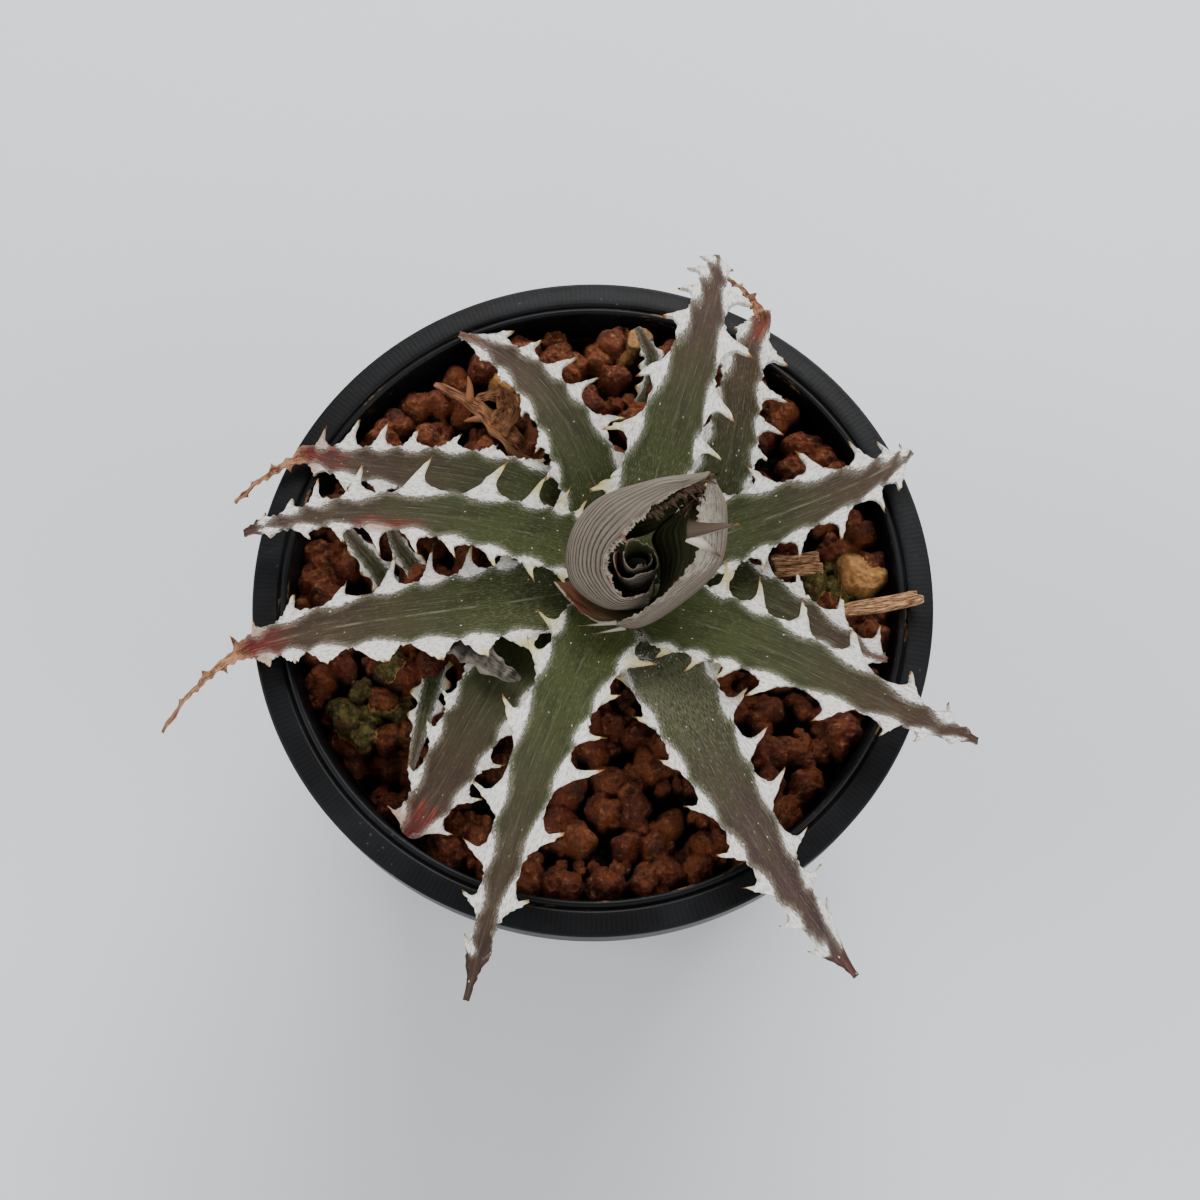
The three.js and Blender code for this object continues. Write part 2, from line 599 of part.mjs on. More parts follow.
// A twig with a slightly flattened, uneven section and broken ends.
function twigSolid({ from, to, radius, sides }, swell = 0) {
  const start = new THREE.Vector3(...from);
  const axis = new THREE.Vector3(...to).sub(start);
  const along = axis.clone().normalize();
  const length = axis.length();
  const path = [-swell, 0.35 * length, 0.7 * length, length + swell].map((d) =>
    start.clone().addScaledVector(along, d),
  );
  const left = new THREE.Vector3(-along.y, along.x, 0).normalize();
  const up = along.clone().cross(left);
  const rings = path.map((middle, k) =>
    Array.from({ length: sides }, (_, j) => {
      const turn = (-2 * Math.PI * j) / sides;
      const r = radius * (j % 2 ? 0.86 : 1.08) * (k % 2 ? 0.92 : 1) + swell;
      const [across, high] = [r * Math.cos(turn), r * Math.sin(turn)];
      return middle.clone().addScaledVector(left, across).addScaledVector(up, high);
    }),
  );
  return solid(loft(rings));
}

// ---------------------------------------------------------------- pot, soil and stem

function lathe(profile, segments) {
  const points = profile.map(([radius, height]) => new THREE.Vector2(radius, height));
  return solid(new THREE.LatheGeometry(points, segments).rotateX(Math.PI / 2));
}

// The inside radius of the tapered wall at a height.
function innerRadius(z) {
  const lipEnd = POT.height - POT.lipDepth;
  return THREE.MathUtils.mapLinear(z, POT.floor, lipEnd, POT.baseRadius - POT.wall, POT.mouthRadius);
}

function potSolid() {
  const { height, rimRadius, grooveRadius, mouthRadius, lipDepth } = POT;
  const { collarHeight, wallRadius, baseRadius, floor } = POT;
  const profile = [
    [0, 0],
    [baseRadius - 0.8, 0],
    [baseRadius, 0.8],
    [wallRadius, height - collarHeight - 1],
    [rimRadius - 0.6, height - collarHeight],
    [rimRadius, height - 1],
    [rimRadius - 0.5, height - 0.5],
    [grooveRadius, height - 0.2],
    [grooveRadius - 0.5, height],
    [mouthRadius + 0.3, height - 0.5],
    [mouthRadius, height - lipDepth],
    [innerRadius(floor), floor],
    [0, floor],
  ];
  let body = lathe(profile, POT.segments);
  for (let i = 0; i < POT.drains; i++) {
    const turn = (2 * Math.PI * (i + 0.5)) / POT.drains;
    const hole = new THREE.CylinderGeometry(POT.drainRadius, POT.drainRadius, floor + 2, 12)
      .rotateX(Math.PI / 2)
      .translate(POT.drainRing * Math.cos(turn), POT.drainRing * Math.sin(turn), floor / 2);
    body = body.subtract(solid(hole));
  }
  return body;
}

// A seeded sequence of numbers from 0 to 1.
function randomSource(seed) {
  let state = seed;
  return () => {
    state = (state * 1664525 + 1013904223) % 4294967296;
    return state / 4294967296;
  };
}

// The soil's level under the grains.
function soilHeight(x, y) {
  const sunk = SOIL.dips.reduce((sum, dip) => {
    const away = Math.hypot(x - dip.x, y - dip.y) / dip.radius;
    return sum + dip.depth * Math.exp(-away * away);
  }, 0);
  return SOIL.level + SOIL.slope * y - sunk;
}

// The grains as the cells of an uneven honeycomb that reaches past the wall. Each is a faceted
// knob, with deep creases between them.
function grainCells() {
  const random = randomSource(11);
  const rows = Math.ceil(POT.rimRadius / SOIL.spacing) + 3;
  const [low, high] = SOIL.grainHeight;
  const cells = new Map();
  for (let row = -rows; row <= rows; row++) {
    for (let column = -2 * rows; column <= 2 * rows; column++) {
      const off = () => SOIL.scatter * (random() - 0.5) * 2;
      cells.set(`${column},${row}`, {
        x: SOIL.spacing * (column + row / 2 + off()),
        y: SOIL.spacing * ((row * Math.sqrt(3)) / 2 + off()),
        height: low + (high - low) * random(),
        uneven: Array.from({ length: 6 }, () => 0.85 + 0.3 * random()),
      });
    }
  }
  return cells;
}

// A solid under the skin of grains, down to the pot's bottom and wider than the pot.
function grainBlock() {
  const cells = grainCells();
  const steps = [[1, 0], [0, 1], [-1, 1], [-1, 0], [0, -1], [1, -1]];
  const inside = ({ x, y }) => Math.hypot(x, y) < POT.rimRadius;
  const points = [];
  for (const [key, cell] of cells) {
    if (!inside(cell)) continue;
    const [column, row] = key.split(',').map(Number);
    const around = steps.map(([c, r]) => cells.get(`${column + c},${row + r}`));
    const place = (x, y, lift) => new THREE.Vector3(x, y, soilHeight(x, y) + lift);
    const corners = around.map((next, k) => {
      const third = around[(k + 1) % 6];
      return place((cell.x + next.x + third.x) / 3, (cell.y + next.y + third.y) / 3, 0);
    });
    const shoulders = corners.map((corner, k) => {
      const share = SOIL.flat * cell.uneven[k];
      const x = cell.x + share * (corner.x - cell.x);
      const y = cell.y + share * (corner.y - cell.y);
      return place(x, y, SOIL.shoulder * cell.height * cell.uneven[5 - k]);
    });
    const top = place(cell.x, cell.y, cell.height);
    const feet = corners.map(({ x, y }) => new THREE.Vector3(x, y, 0));
    const foot = new THREE.Vector3(cell.x, cell.y, 0);
    for (let k = 0; k < 6; k++) {
      const next = (k + 1) % 6;
      points.push(top, shoulders[k], shoulders[next]);
      points.push(shoulders[k], corners[k], corners[next], shoulders[k], corners[next], shoulders[next]);
      points.push(foot, feet[next], feet[k]);
      if (inside(around[next])) continue;
      points.push(feet[k], feet[next], corners[next], feet[k], corners[next], corners[k]);
    }
  }
  const geometry = new THREE.BufferGeometry().setFromPoints(points);
  geometry.setIndex([...points.keys()]);
  return SOIL.lumps.reduce((body, lump) => body.add(clod(lump)), solid(geometry));
}

// A rounded clod, faceted.
function clod({ x, y, lift, radius }) {
  const ball = new THREE.IcosahedronGeometry(radius, SOIL.folds)
    .scale(1, 1, SOIL.squash)
    .translate(x, y, soilHeight(x, y) + lift);
  return solid(ball);
}

// The filling up to the skin of grains, clear of the wall and of every piece in rooms.
function soilSolid(rooms) {
  const bottom = POT.floor + GAP;
  const top = POT.height - POT.lipDepth;
  const profile = [
    [0, bottom],
    [innerRadius(bottom) - GAP, bottom],
    [innerRadius(top) - GAP, top],
    [0, top],
  ];
  const covered = lathe(profile, SOIL.segments).intersect(grainBlock());
  return rooms
    .filter((room) => covered.intersect(room).volume() > 0)
    .reduce((body, room) => body.subtract(room), covered);
}

function stemSolid(swell = 0) {
  const { x, y, radius, bottom, top, taper, sides } = STEM;
  const height = top - bottom + 2 * swell;
  const stock = new THREE.CylinderGeometry(radius - taper + swell, radius + swell, height, sides)
    .rotateX(Math.PI / 2)
    .translate(x, y, (top + bottom) / 2);
  return solid(stock);
}

// ---------------------------------------------------------------- assembly

// The plant from its top down. Each piece makes room for those before it.
const plant = [
  { name: 'stem', finish: 'stem', make: stemSolid },
  { name: 'core_bud', finish: 'core', make: (swell) => budSolid(CORE.bud, swell) },
  { name: 'core_hood', finish: 'core', make: (swell) => coreSheet(CORE.hood, swell) },
  { name: 'core_wrap', finish: 'core', make: (swell) => coreSheet(CORE.wrap, swell) },
  ...LEAVES.map((leaf) => ({ name: leaf.name, finish: 'leaf', make: (swell) => leafSolid(leaf, swell) })),
  ...STRIPS.map((strip) => ({ ...strip, make: (swell) => stripSolid(strip, swell) })),
  ...TWIGS.map((twig) => ({ ...twig, finish: 'dried', make: (swell) => twigSolid(twig, swell) })),
];

const group = new THREE.Group();

function addPiece(name, finish, body) {
  const mesh = new THREE.Mesh(geometryOf(body), new THREE.MeshStandardMaterial(FINISH[finish]));
  mesh.name = name;
  group.add(mesh);
}

const rooms = [];
for (const { name, finish, make } of plant) {
  const body = rooms
    .filter((room) => make(0).intersect(room).volume() > 0)
    .reduce((rest, room) => rest.subtract(room), make(0));
  rooms.push(make(GAP));
  addPiece(name, finish, largest(body));
}
const pot = potSolid();
addPiece('pot', 'plastic', pot);
addPiece('soil', 'grains', largest(soilSolid([...rooms, pot])));

export default group;
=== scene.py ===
# A dyckia bromeliad in its round plastic pot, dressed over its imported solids.
# All sizes in the dictionaries are millimetres, +Z up, and degrees counted from +X.

import math
import bpy
import numpy as np
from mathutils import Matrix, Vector


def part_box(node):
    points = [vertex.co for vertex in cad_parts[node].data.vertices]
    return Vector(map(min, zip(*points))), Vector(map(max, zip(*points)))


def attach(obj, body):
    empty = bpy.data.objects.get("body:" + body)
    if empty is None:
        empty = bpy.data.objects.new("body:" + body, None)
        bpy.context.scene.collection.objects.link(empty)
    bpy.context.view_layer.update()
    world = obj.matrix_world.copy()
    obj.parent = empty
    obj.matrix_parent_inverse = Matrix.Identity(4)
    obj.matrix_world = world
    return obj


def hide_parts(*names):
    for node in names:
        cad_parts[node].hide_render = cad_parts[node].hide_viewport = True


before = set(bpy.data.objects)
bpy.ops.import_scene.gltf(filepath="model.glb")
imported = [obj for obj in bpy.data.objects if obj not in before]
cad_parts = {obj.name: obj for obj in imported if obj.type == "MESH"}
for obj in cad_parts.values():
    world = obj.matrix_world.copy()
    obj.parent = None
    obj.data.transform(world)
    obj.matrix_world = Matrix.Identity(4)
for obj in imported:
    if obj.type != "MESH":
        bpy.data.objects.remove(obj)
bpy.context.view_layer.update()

mm = 0.001
degree = math.pi / 180
circle = 2 * math.pi


# meshes from arrays

def addPiece(name, points, faces, nodes, material, layers):
    # points in mm; faces is a list of arrays, each of triangles or of quads; layers are point attributes
    loops = np.concatenate([f.ravel() for f in faces])
    sizes = np.concatenate([np.full(len(f), f.shape[1]) for f in faces])
    mesh = bpy.data.meshes.new(name)
    mesh.vertices.add(len(points))
    mesh.vertices.foreach_set("co", (points * mm).astype(np.float32).ravel())
    mesh.loops.add(len(loops))
    mesh.loops.foreach_set("vertex_index", loops.astype(np.int32))
    mesh.polygons.add(len(sizes))
    mesh.polygons.foreach_set("loop_start", (np.cumsum(sizes) - sizes).astype(np.int32))
    mesh.update(calc_edges=True)
    for key, values in layers.items():
        flat = values.ndim == 1
        layer = mesh.attributes.new(key, "FLOAT" if flat else "FLOAT_VECTOR", "POINT")
        layer.data.foreach_set("value" if flat else "vector", values.astype(np.float32).ravel())
    mesh.polygons.foreach_set("use_smooth", np.ones(len(sizes), bool))
    mesh.validate()
    piece = bpy.data.objects.new(name, mesh)
    bpy.context.scene.collection.objects.link(piece)
    mesh.materials.append(material)
    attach(piece, "root")
    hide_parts(*nodes)
    return piece


def outward(points, faces):
    # signed volume = sum of a . (b x c) / 6 over the triangles; a negative one turns every face round
    volume = 0
    for f in faces:
        for k in range(1, f.shape[1] - 1):
            a, b, c = points[f[:, 0]], points[f[:, k]], points[f[:, k + 1]]
            volume += np.sum(a * np.cross(b, c))
    return faces if volume > 0 else [f[:, ::-1] for f in faces]


def gridFaces(rows, columns, start=0, wrap=False):
    # the quads between neighbouring rows and columns of a grid of points
    i, j = np.meshgrid(np.arange(rows - 1), np.arange(columns if wrap else columns - 1), indexing="ij")
    a = start + i * columns + j
    b = start + i * columns + (j + 1) % columns
    return np.stack([a, b, b + columns, a + columns], -1).reshape(-1, 4)


def gridRim(rows, columns):
    # the points of a grid's edge, in turn round it
    index = np.arange(rows * columns).reshape(rows, columns)
    return np.concatenate([index[0, :-1], index[:-1, -1], index[-1, :0:-1], index[:0:-1, 0]])


def shell(over, under):
    # two grids of points, one above the other, closed by a wall round their common edge
    rows, columns = over.shape[:2]
    count = rows * columns
    points = np.concatenate([over.reshape(-1, 3), under.reshape(-1, 3)])
    rim = gridRim(rows, columns)
    after = np.roll(rim, -1)
    wall = np.stack([rim, rim + count, after + count, after], -1)
    faces = [gridFaces(rows, columns), gridFaces(rows, columns, count)[:, ::-1], wall]
    return points, outward(points, faces)


def tube(rings):
    # closed rings of points joined into a skin, with a fan of triangles over each end
    rows, columns = rings.shape[:2]
    points = np.concatenate([rings.reshape(-1, 3), rings[:1].mean(1), rings[-1:].mean(1)])
    k = np.arange(columns)
    near = np.stack([np.full(columns, rows * columns), (k + 1) % columns, k], -1)
    tail = (rows - 1) * columns
    far = np.stack([np.full(columns, rows * columns + 1), tail + k, tail + (k + 1) % columns], -1)
    faces = [gridFaces(rows, columns, wrap=True), near, far]
    return points, outward(points, faces)


def joined(points, faces, more, moreFaces):
    # one mesh out of two, the second one's faces counted on
    return np.concatenate([points, more]), faces + [f + len(points) for f in moreFaces]


def turned(radii, heights, turn):
    # level rings of points about the axis: x = r cos a, y = r sin a, z = h
    r, h = np.asarray(radii)[:, None], np.asarray(heights)[:, None]
    return np.stack([r * np.cos(turn), r * np.sin(turn), h + 0 * turn], -1)


def unit(vectors):
    # each vector over its own length
    return vectors / np.linalg.norm(vectors, axis=-1, keepdims=True)


def sideAndUp(along):
    # the level direction to the left of along, and the one square to both
    left = unit(np.stack([-along[..., 1], along[..., 0], 0 * along[..., 0]], -1))
    return left, np.cross(along, left)


def twice(*values):
    # three values for each point of a shell's upper side, and the same again for its under side
    return np.tile(np.stack(values, -1).reshape(-1, 3), (2, 1))


def strewn(x, y):
    # pairs of values for waves(), out of an array and another array or a number
    return np.stack([x, y + 0 * x], -1)


def waves(points, size, count=18, seed=1):
    # soft noise: the sum of sine waves sin(k . p + phase), each in its own direction, over the root of half
    # their number
    source = np.random.default_rng(seed)
    k = source.normal(size=(count, points.shape[-1]))
    k *= (circle / size) * (0.6 + 0.8 * source.random((count, 1))) / np.linalg.norm(k, axis=1, keepdims=True)
    phase = source.random(count) * circle
    total = np.zeros(points.shape[:-1])
    for direction, start in zip(k, phase):
        total += np.sin(points @ direction + start)
    return total / math.sqrt(count / 2)


def smooth(low, high, x):
    # 0 below low, 1 above high, 3s^2 - 2s^3 between
    s = np.clip((x - low) / (high - low), 0, 1)
    return s * s * (3 - 2 * s)


def splineAt(corners, u):
    # the centripetal Catmull-Rom curve through the corners, at shares u of its length in spans
    p = np.array(corners, float)
    ends = np.concatenate([2 * p[:1] - p[1:2], p, 2 * p[-1:] - p[-2:-1]])
    place = np.clip(u, 0, 1) * (len(p) - 1)
    k = np.minimum(place.astype(int), len(p) - 2)
    w = (place - k)[..., None]
    a, b, c, d = ends[k], ends[k + 1], ends[k + 2], ends[k + 3]
    span = lambda x, y: np.sqrt(np.linalg.norm(x - y, axis=-1, keepdims=True))
    first, middle, last = span(a, b), span(b, c), span(c, d)
    start = ((b - a) / first - (c - a) / (first + middle) + (c - b) / middle) * middle
    end = ((c - b) / middle - (d - b) / (middle + last) + (d - c) / last) * middle
    rise = c - b
    return b + start * w + (3 * rise - 2 * start - end) * w**2 + (start + end - 2 * rise) * w**3


# materials from nodes

def addNode(tree, kind, inputs=None, **settings):
    node = tree.nodes.new("ShaderNode" + kind)
    for key, value in settings.items():
        setattr(node, key, value)
    for key, value in (inputs or {}).items():
        if isinstance(value, bpy.types.NodeSocket):
            tree.links.new(value, node.inputs[key])
        else:
            node.inputs[key].default_value = value
    return node


def colour(hexText):
    # sRGB text to linear light
    parts = [int(hexText[i:i + 2], 16) / 255 for i in (0, 2, 4)]
    return tuple(c / 12.92 if c <= 0.04045 else ((c + 0.055) / 1.055) ** 2.4 for c in parts) + (1,)


class Recipe:
    # a material being written: every method adds nodes and gives back the last one's output
    def __init__(self, name, look):
        self.look = look
        self.material = bpy.data.materials.new(name)
        self.material.use_nodes = True
        self.tree = self.material.node_tree
        self.tree.nodes.clear()

    def attribute(self, name, output="Vector"):
        return addNode(self.tree, "Attribute", attribute_name=name).outputs[output]

    def place(self):
        return addNode(self.tree, "TexCoord").outputs["Object"]

    def parts(self, vector):
        return addNode(self.tree, "SeparateXYZ", {0: vector}).outputs

    def vector(self, x, y, z=0.0):
        return addNode(self.tree, "CombineXYZ", {0: x, 1: y, 2: z}).outputs[0]

    def calc(self, operation, a, b=0.0):
        return addNode(self.tree, "Math", {0: a, 1: b}, operation=operation).outputs[0]

    def times(self, a, b):
        return self.calc("MULTIPLY", a, b)

    def plus(self, a, b):
        return self.calc("ADD", a, b)

    def minus(self, a, b):
        return self.calc("SUBTRACT", a, b)

    def swing(self, value, amount):
        # a noise about 0.5 turned into one about 0
        return self.times(self.minus(value, 0.5), amount)

    def scaled(self, x, y, sizeX, sizeY):
        return self.vector(self.times(x, sizeX), self.times(y, sizeY))

    def stretch(self, vector, scale):
        return addNode(self.tree, "VectorMath", {0: vector, 1: scale}, operation="MULTIPLY").outputs[0]

    def noise(self, vector, scale, detail=3.0, roughness=0.55):
        inputs = {"Vector": vector, "Scale": scale, "Detail": detail, "Roughness": roughness}
        return addNode(self.tree, "TexNoise", inputs).outputs["Fac"]

    def cells(self, vector, scale):
        return addNode(self.tree, "TexVoronoi", {"Vector": vector, "Scale": scale}).outputs

    def step(self, value, low, high, to=(0.0, 1.0)):
        inputs = {"Value": value, "From Min": low, "From Max": high, "To Min": to[0], "To Max": to[1]}
        return addNode(self.tree, "MapRange", inputs, interpolation_type="SMOOTHSTEP").outputs[0]

    def ramp(self, value, stops):
        node = addNode(self.tree, "ValToRGB", {0: value})
        while len(node.color_ramp.elements) < len(stops):
            node.color_ramp.elements.new(0.5)
        for element, (spot, shade) in zip(node.color_ramp.elements, stops):
            element.position = spot
            element.color = colour(self.look[shade])
        return node.outputs["Color"]

    def mix(self, share, a, b):
        # a and b are names of colours in the look, or outputs of other nodes
        a, b = [colour(self.look[shade]) if isinstance(shade, str) else shade for shade in (a, b)]
        return addNode(self.tree, "Mix", {0: share, 6: a, 7: b}, data_type="RGBA").outputs[2]

    def cover(self, base, shade, value, low, high, most=1.0):
        # the shade over the base, none of it where the value is low and most where it is high
        return self.mix(self.step(value, low, high, (0.0, most)), base, shade)

    def relief(self, *layers):
        # one bump on another, each as height, strength and distance
        normal = None
        for height, strength, distance in layers:
            inputs = {"Height": height, "Strength": strength, "Distance": distance}
            if normal:
                inputs["Normal"] = normal
            normal = addNode(self.tree, "Bump", inputs).outputs[0]
        return normal

    def finish(self, base, roughness, specular, bump=None):
        inputs = {"Base Color": base, "Roughness": roughness, "Specular IOR Level": specular}
        if bump:
            inputs["Normal"] = bump
        shader = addNode(self.tree, "BsdfPrincipled", inputs)
        addNode(self.tree, "OutputMaterial", {"Surface": shader.outputs[0]})
        return self.material


# leaves

stem = {"x": 5, "y": 2.5, "radius": 4.6, "shadeFrom": 92.5, "shadeTo": 93.8}
leafRoot = stem["radius"] + 0.4
blade = {
    "edge": 0.8, "keel": 0.26, "channel": 0.24, "margin": 0.42, "tip": 0.45,
    "rootSpread": 0.72, "toothRise": 0.1, "gap": 0.3, "bay": 0.36, "corner": 0.12, "base": 0.2,
}
fineness = {"arc": 12, "body": 19, "tail": 56, "start": 6}

# name, azimuth, reach, bow, hook, shift, heights, width, taper; the teeth of each side as station and reach;
# red, purple and scurf say how much of each finish the skin carries, browning is the station where purple
# starts, bare the one where the white margin ends, and lobed makes the teeth of the left and right side blunt
leaves = [
    {
        "name": "leaf_front", "azimuth": -110, "reach": 69, "bow": -1.8, "hook": 0.4, "shift": 0,
        "heights": [92.5, 107, 92], "width": 12.1, "taper": 0.8,
        "left": [[0.09, 10.3], [0.21, 7.6], [0.33, 8.3], [0.41, 9.7], [0.58, 7.5], [0.75, 5.3], [0.88, 1.9]],
        "right": [[0.1, 9.5], [0.17, 9.1], [0.32, 8.6], [0.53, 8.1], [0.66, 6.8], [0.77, 4.8], [0.86, 2.7]],
        "red": 0.0, "purple": 0.5, "scurf": 0.25, "bare": 0.88,
    },
    {
        "name": "leaf_right", "azimuth": -26, "reach": 59, "bow": -0.8, "hook": -0.8, "shift": -2.9,
        "heights": [92.65, 106, 93], "width": 11.4, "taper": 0.62,
        "left": [
            [0.07, 8.8], [0.16, 10.3], [0.26, 9.5], [0.39, 9.2],
            [0.55, 8], [0.755, 5.9], [0.89, 3.9], [0.96, 1.3],
        ],
        "right": [
            [0.08, 7.5], [0.18, 8.2], [0.27, 8], [0.37, 8.6],
            [0.56, 8.1], [0.74, 5.2], [0.83, 4.1], [0.92, 1.8],
        ],
        "red": 0.1, "purple": 0.5, "scurf": 0.2, "bare": 0.96,
    },
    {
        "name": "leaf_back", "azimuth": 74.5, "reach": 54.6, "bow": -1.2, "hook": -0.5, "shift": 0,
        "heights": [92.38, 107, 95], "width": 11.6, "taper": 0.52,
        "left": [[0.11, 9.2], [0.29, 9.9], [0.48, 7.8], [0.71, 6.4], [0.83, 5.2], [0.92, 4.6], [0.98, 2.8]],
        "right": [[0.1, 8.6], [0.2, 9], [0.31, 9.2], [0.43, 9.3], [0.64, 9.1], [0.81, 7.2], [0.94, 2.8]],
        "red": 0.0, "purple": 0.75, "scurf": 0.35,
    },
    {
        "name": "leaf_left_upper", "azimuth": 173.5, "reach": 59, "bow": -2.7, "hook": -0.5, "shift": -3.6,
        "heights": [92.77, 106, 94], "width": 9.8, "taper": 0.66,
        "left": [
            [0.06, 7], [0.15, 7.4], [0.26, 7], [0.38, 6.6], [0.49, 6.9],
            [0.6, 7.3], [0.71, 5.2], [0.81, 3.8], [0.92, 2],
        ],
        "right": [
            [0.05, 7.4], [0.1, 8.7], [0.17, 9.6], [0.28, 10], [0.48, 8.9],
            [0.66, 7.3], [0.78, 5.6], [0.85, 3.4], [0.93, 2],
        ],
        "red": 0.2, "purple": 0.7, "scurf": 0.25, "blotch": [0.6, 2.4], "bare": 0.95,
    },
    {
        "name": "leaf_front_right", "azimuth": -61, "reach": 70, "bow": -2.6, "hook": -0.4, "shift": -0.5,
        "heights": [89, 101, 91.7], "width": 13.4, "taper": 0.68,
        "left": [
            [0.1, 8.5], [0.19, 9.3], [0.29, 9.7], [0.4, 9.6],
            [0.51, 8.8], [0.66, 6.9], [0.75, 5.6], [0.82, 3.6],
        ],
        "right": [
            [0.12, 8], [0.24, 7.8], [0.36, 7.5], [0.48, 7.2],
            [0.61, 6.9], [0.7, 6.1], [0.81, 5], [0.89, 3.4],
        ],
        "red": 0.2, "purple": 1.2, "browning": 0.05, "scurf": 0.75, "bare": 0.91,
    },
    {
        "name": "leaf_back_right", "azimuth": 24.5, "reach": 49, "bow": -1.6, "hook": -0.8, "shift": 1,
        "heights": [89.17, 99, 93], "width": 12.2, "taper": 0.57,
        "left": [[0.1, 8], [0.25, 8.9], [0.41, 8.8], [0.6, 8.2], [0.81, 6.6], [0.91, 4.2], [0.98, 2.1]],
        "right": [[0.1, 8], [0.22, 8.2], [0.34, 8.3], [0.47, 8.2], [0.62, 7.7], [0.79, 6.5], [0.87, 4.5]],
        "red": 0.1, "purple": 0.55, "scurf": 0.35, "midline": 0.6,
    },
    {
        "name": "leaf_back_left", "azimuth": 123, "reach": 48, "bow": -4.7, "hook": -0.8, "shift": -1.7,
        "heights": [88.86, 99, 92], "width": 11.8, "taper": 0.62, "roll": -12,
        "left": [[0.1, 7.5], [0.2, 7.4], [0.31, 7], [0.43, 6.4], [0.59, 5.2], [0.76, 3.6], [0.88, 2.4]],
        "right": [[0.12, 8.2], [0.25, 8.6], [0.39, 8.7], [0.54, 8.1], [0.63, 7.5], [0.75, 5.6], [0.84, 4.1]],
        "red": 0.45, "purple": 0.6, "scurf": 0.3,
    },
    {
        "name": "leaf_left", "azimuth": -169, "reach": 58, "bow": 0.8, "hook": -0.6, "shift": -0.8,
        "heights": [89.28, 100, 92.5], "width": 12.2, "taper": 0.5,
        "left": [
            [0.1, 8], [0.22, 8.4], [0.34, 8.4], [0.46, 8.1],
            [0.62, 7.2], [0.79, 5.7], [0.88, 4.4], [0.96, 3.7],
        ],
        "right": [
            [0.1, 8.5], [0.21, 9.5], [0.32, 9.9], [0.44, 9.9],
            [0.55, 9.4], [0.7, 6.4], [0.85, 6.3], [0.98, 3.8],
        ],
        "tail": {"length": 18.6, "kink": 14, "turn": 28, "drop": 5, "spike": 2.2},
        "red": 1.0, "purple": 0.35, "scurf": 0.45, "midline": 0.7, "lobed": [0.9, 0],
    },
    {
        "name": "leaf_left_lower", "azimuth": 157.5, "reach": 53, "bow": -3.4, "hook": 2, "shift": -4.4,
        "heights": [85.5, 98, 92], "width": 10.6, "taper": 0.5,
        "left": [
            [0.12, 6.5], [0.25, 6.6], [0.37, 6.5], [0.5, 6.2],
            [0.62, 6], [0.74, 5.5], [0.85, 5], [0.96, 3.4],
        ],
        "right": [
            [0.14, 6.5], [0.28, 6.2], [0.42, 6], [0.53, 6.5],
            [0.66, 6.4], [0.76, 7.2], [0.86, 7], [0.98, 4.9],
        ],
        "tail": {"length": 14, "kink": 40, "turn": 25, "drop": 2},
        "red": 0.9, "purple": 0.6, "scurf": 0.35, "lobed": [0.35, 0.1],
    },
    {
        "name": "leaf_right_lower", "azimuth": -17, "reach": 42, "bow": 2, "hook": -1.5, "shift": 2,
        "heights": [88.3, 94.6, 89.4], "width": 10, "taper": 0.6,
        "left": [[0.12, 6.5], [0.24, 6.7], [0.37, 6.4], [0.5, 5.9], [0.7, 6], [0.92, 4.6]],
        "right": [[0.12, 6.5], [0.26, 6.8], [0.4, 6.6], [0.55, 6.2], [0.7, 5.3], [0.87, 3.9]],
        "red": 0.7, "purple": 0.4, "scurf": 0.5,
    },
    {
        "name": "leaf_back_lower", "azimuth": 63, "reach": 48, "bow": -5.2, "hook": 2.8, "shift": 0.5,
        "heights": [84.6, 98.4, 92], "width": 10.6, "taper": 0.52,
        "left": [[0.12, 7], [0.25, 7.2], [0.38, 7], [0.5, 6.8], [0.63, 6.2], [0.77, 5.2], [0.92, 3.4]],
        "right": [[0.12, 6.8], [0.25, 6.6], [0.36, 6.2], [0.47, 6.4], [0.56, 7.8], [0.67, 7.7], [0.82, 6.8]],
        "tail": {"length": 9.5, "kink": 45, "turn": 45, "drop": 0.5},
        "red": 0.6, "purple": 0.35, "scurf": 0.8,
    },
    {
        "name": "leaf_front_left", "azimuth": -130.2, "reach": 51.5, "bow": -2.5, "hook": 1.7, "shift": -2.7,
        "heights": [85.81, 95, 88], "width": 11.6, "taper": 0.3,
        "left": [[0.12, 7], [0.26, 7.4], [0.4, 7.4], [0.53, 7.4], [0.66, 7.3], [0.78, 6.8], [0.91, 5.9]],
        "right": [[0.12, 6.5], [0.25, 6.8], [0.38, 6.9], [0.53, 6.8], [0.64, 6.6], [0.8, 5.7], [0.96, 5]],
        "red": 1.0, "purple": 0.5, "scurf": 0.3,
    },
]


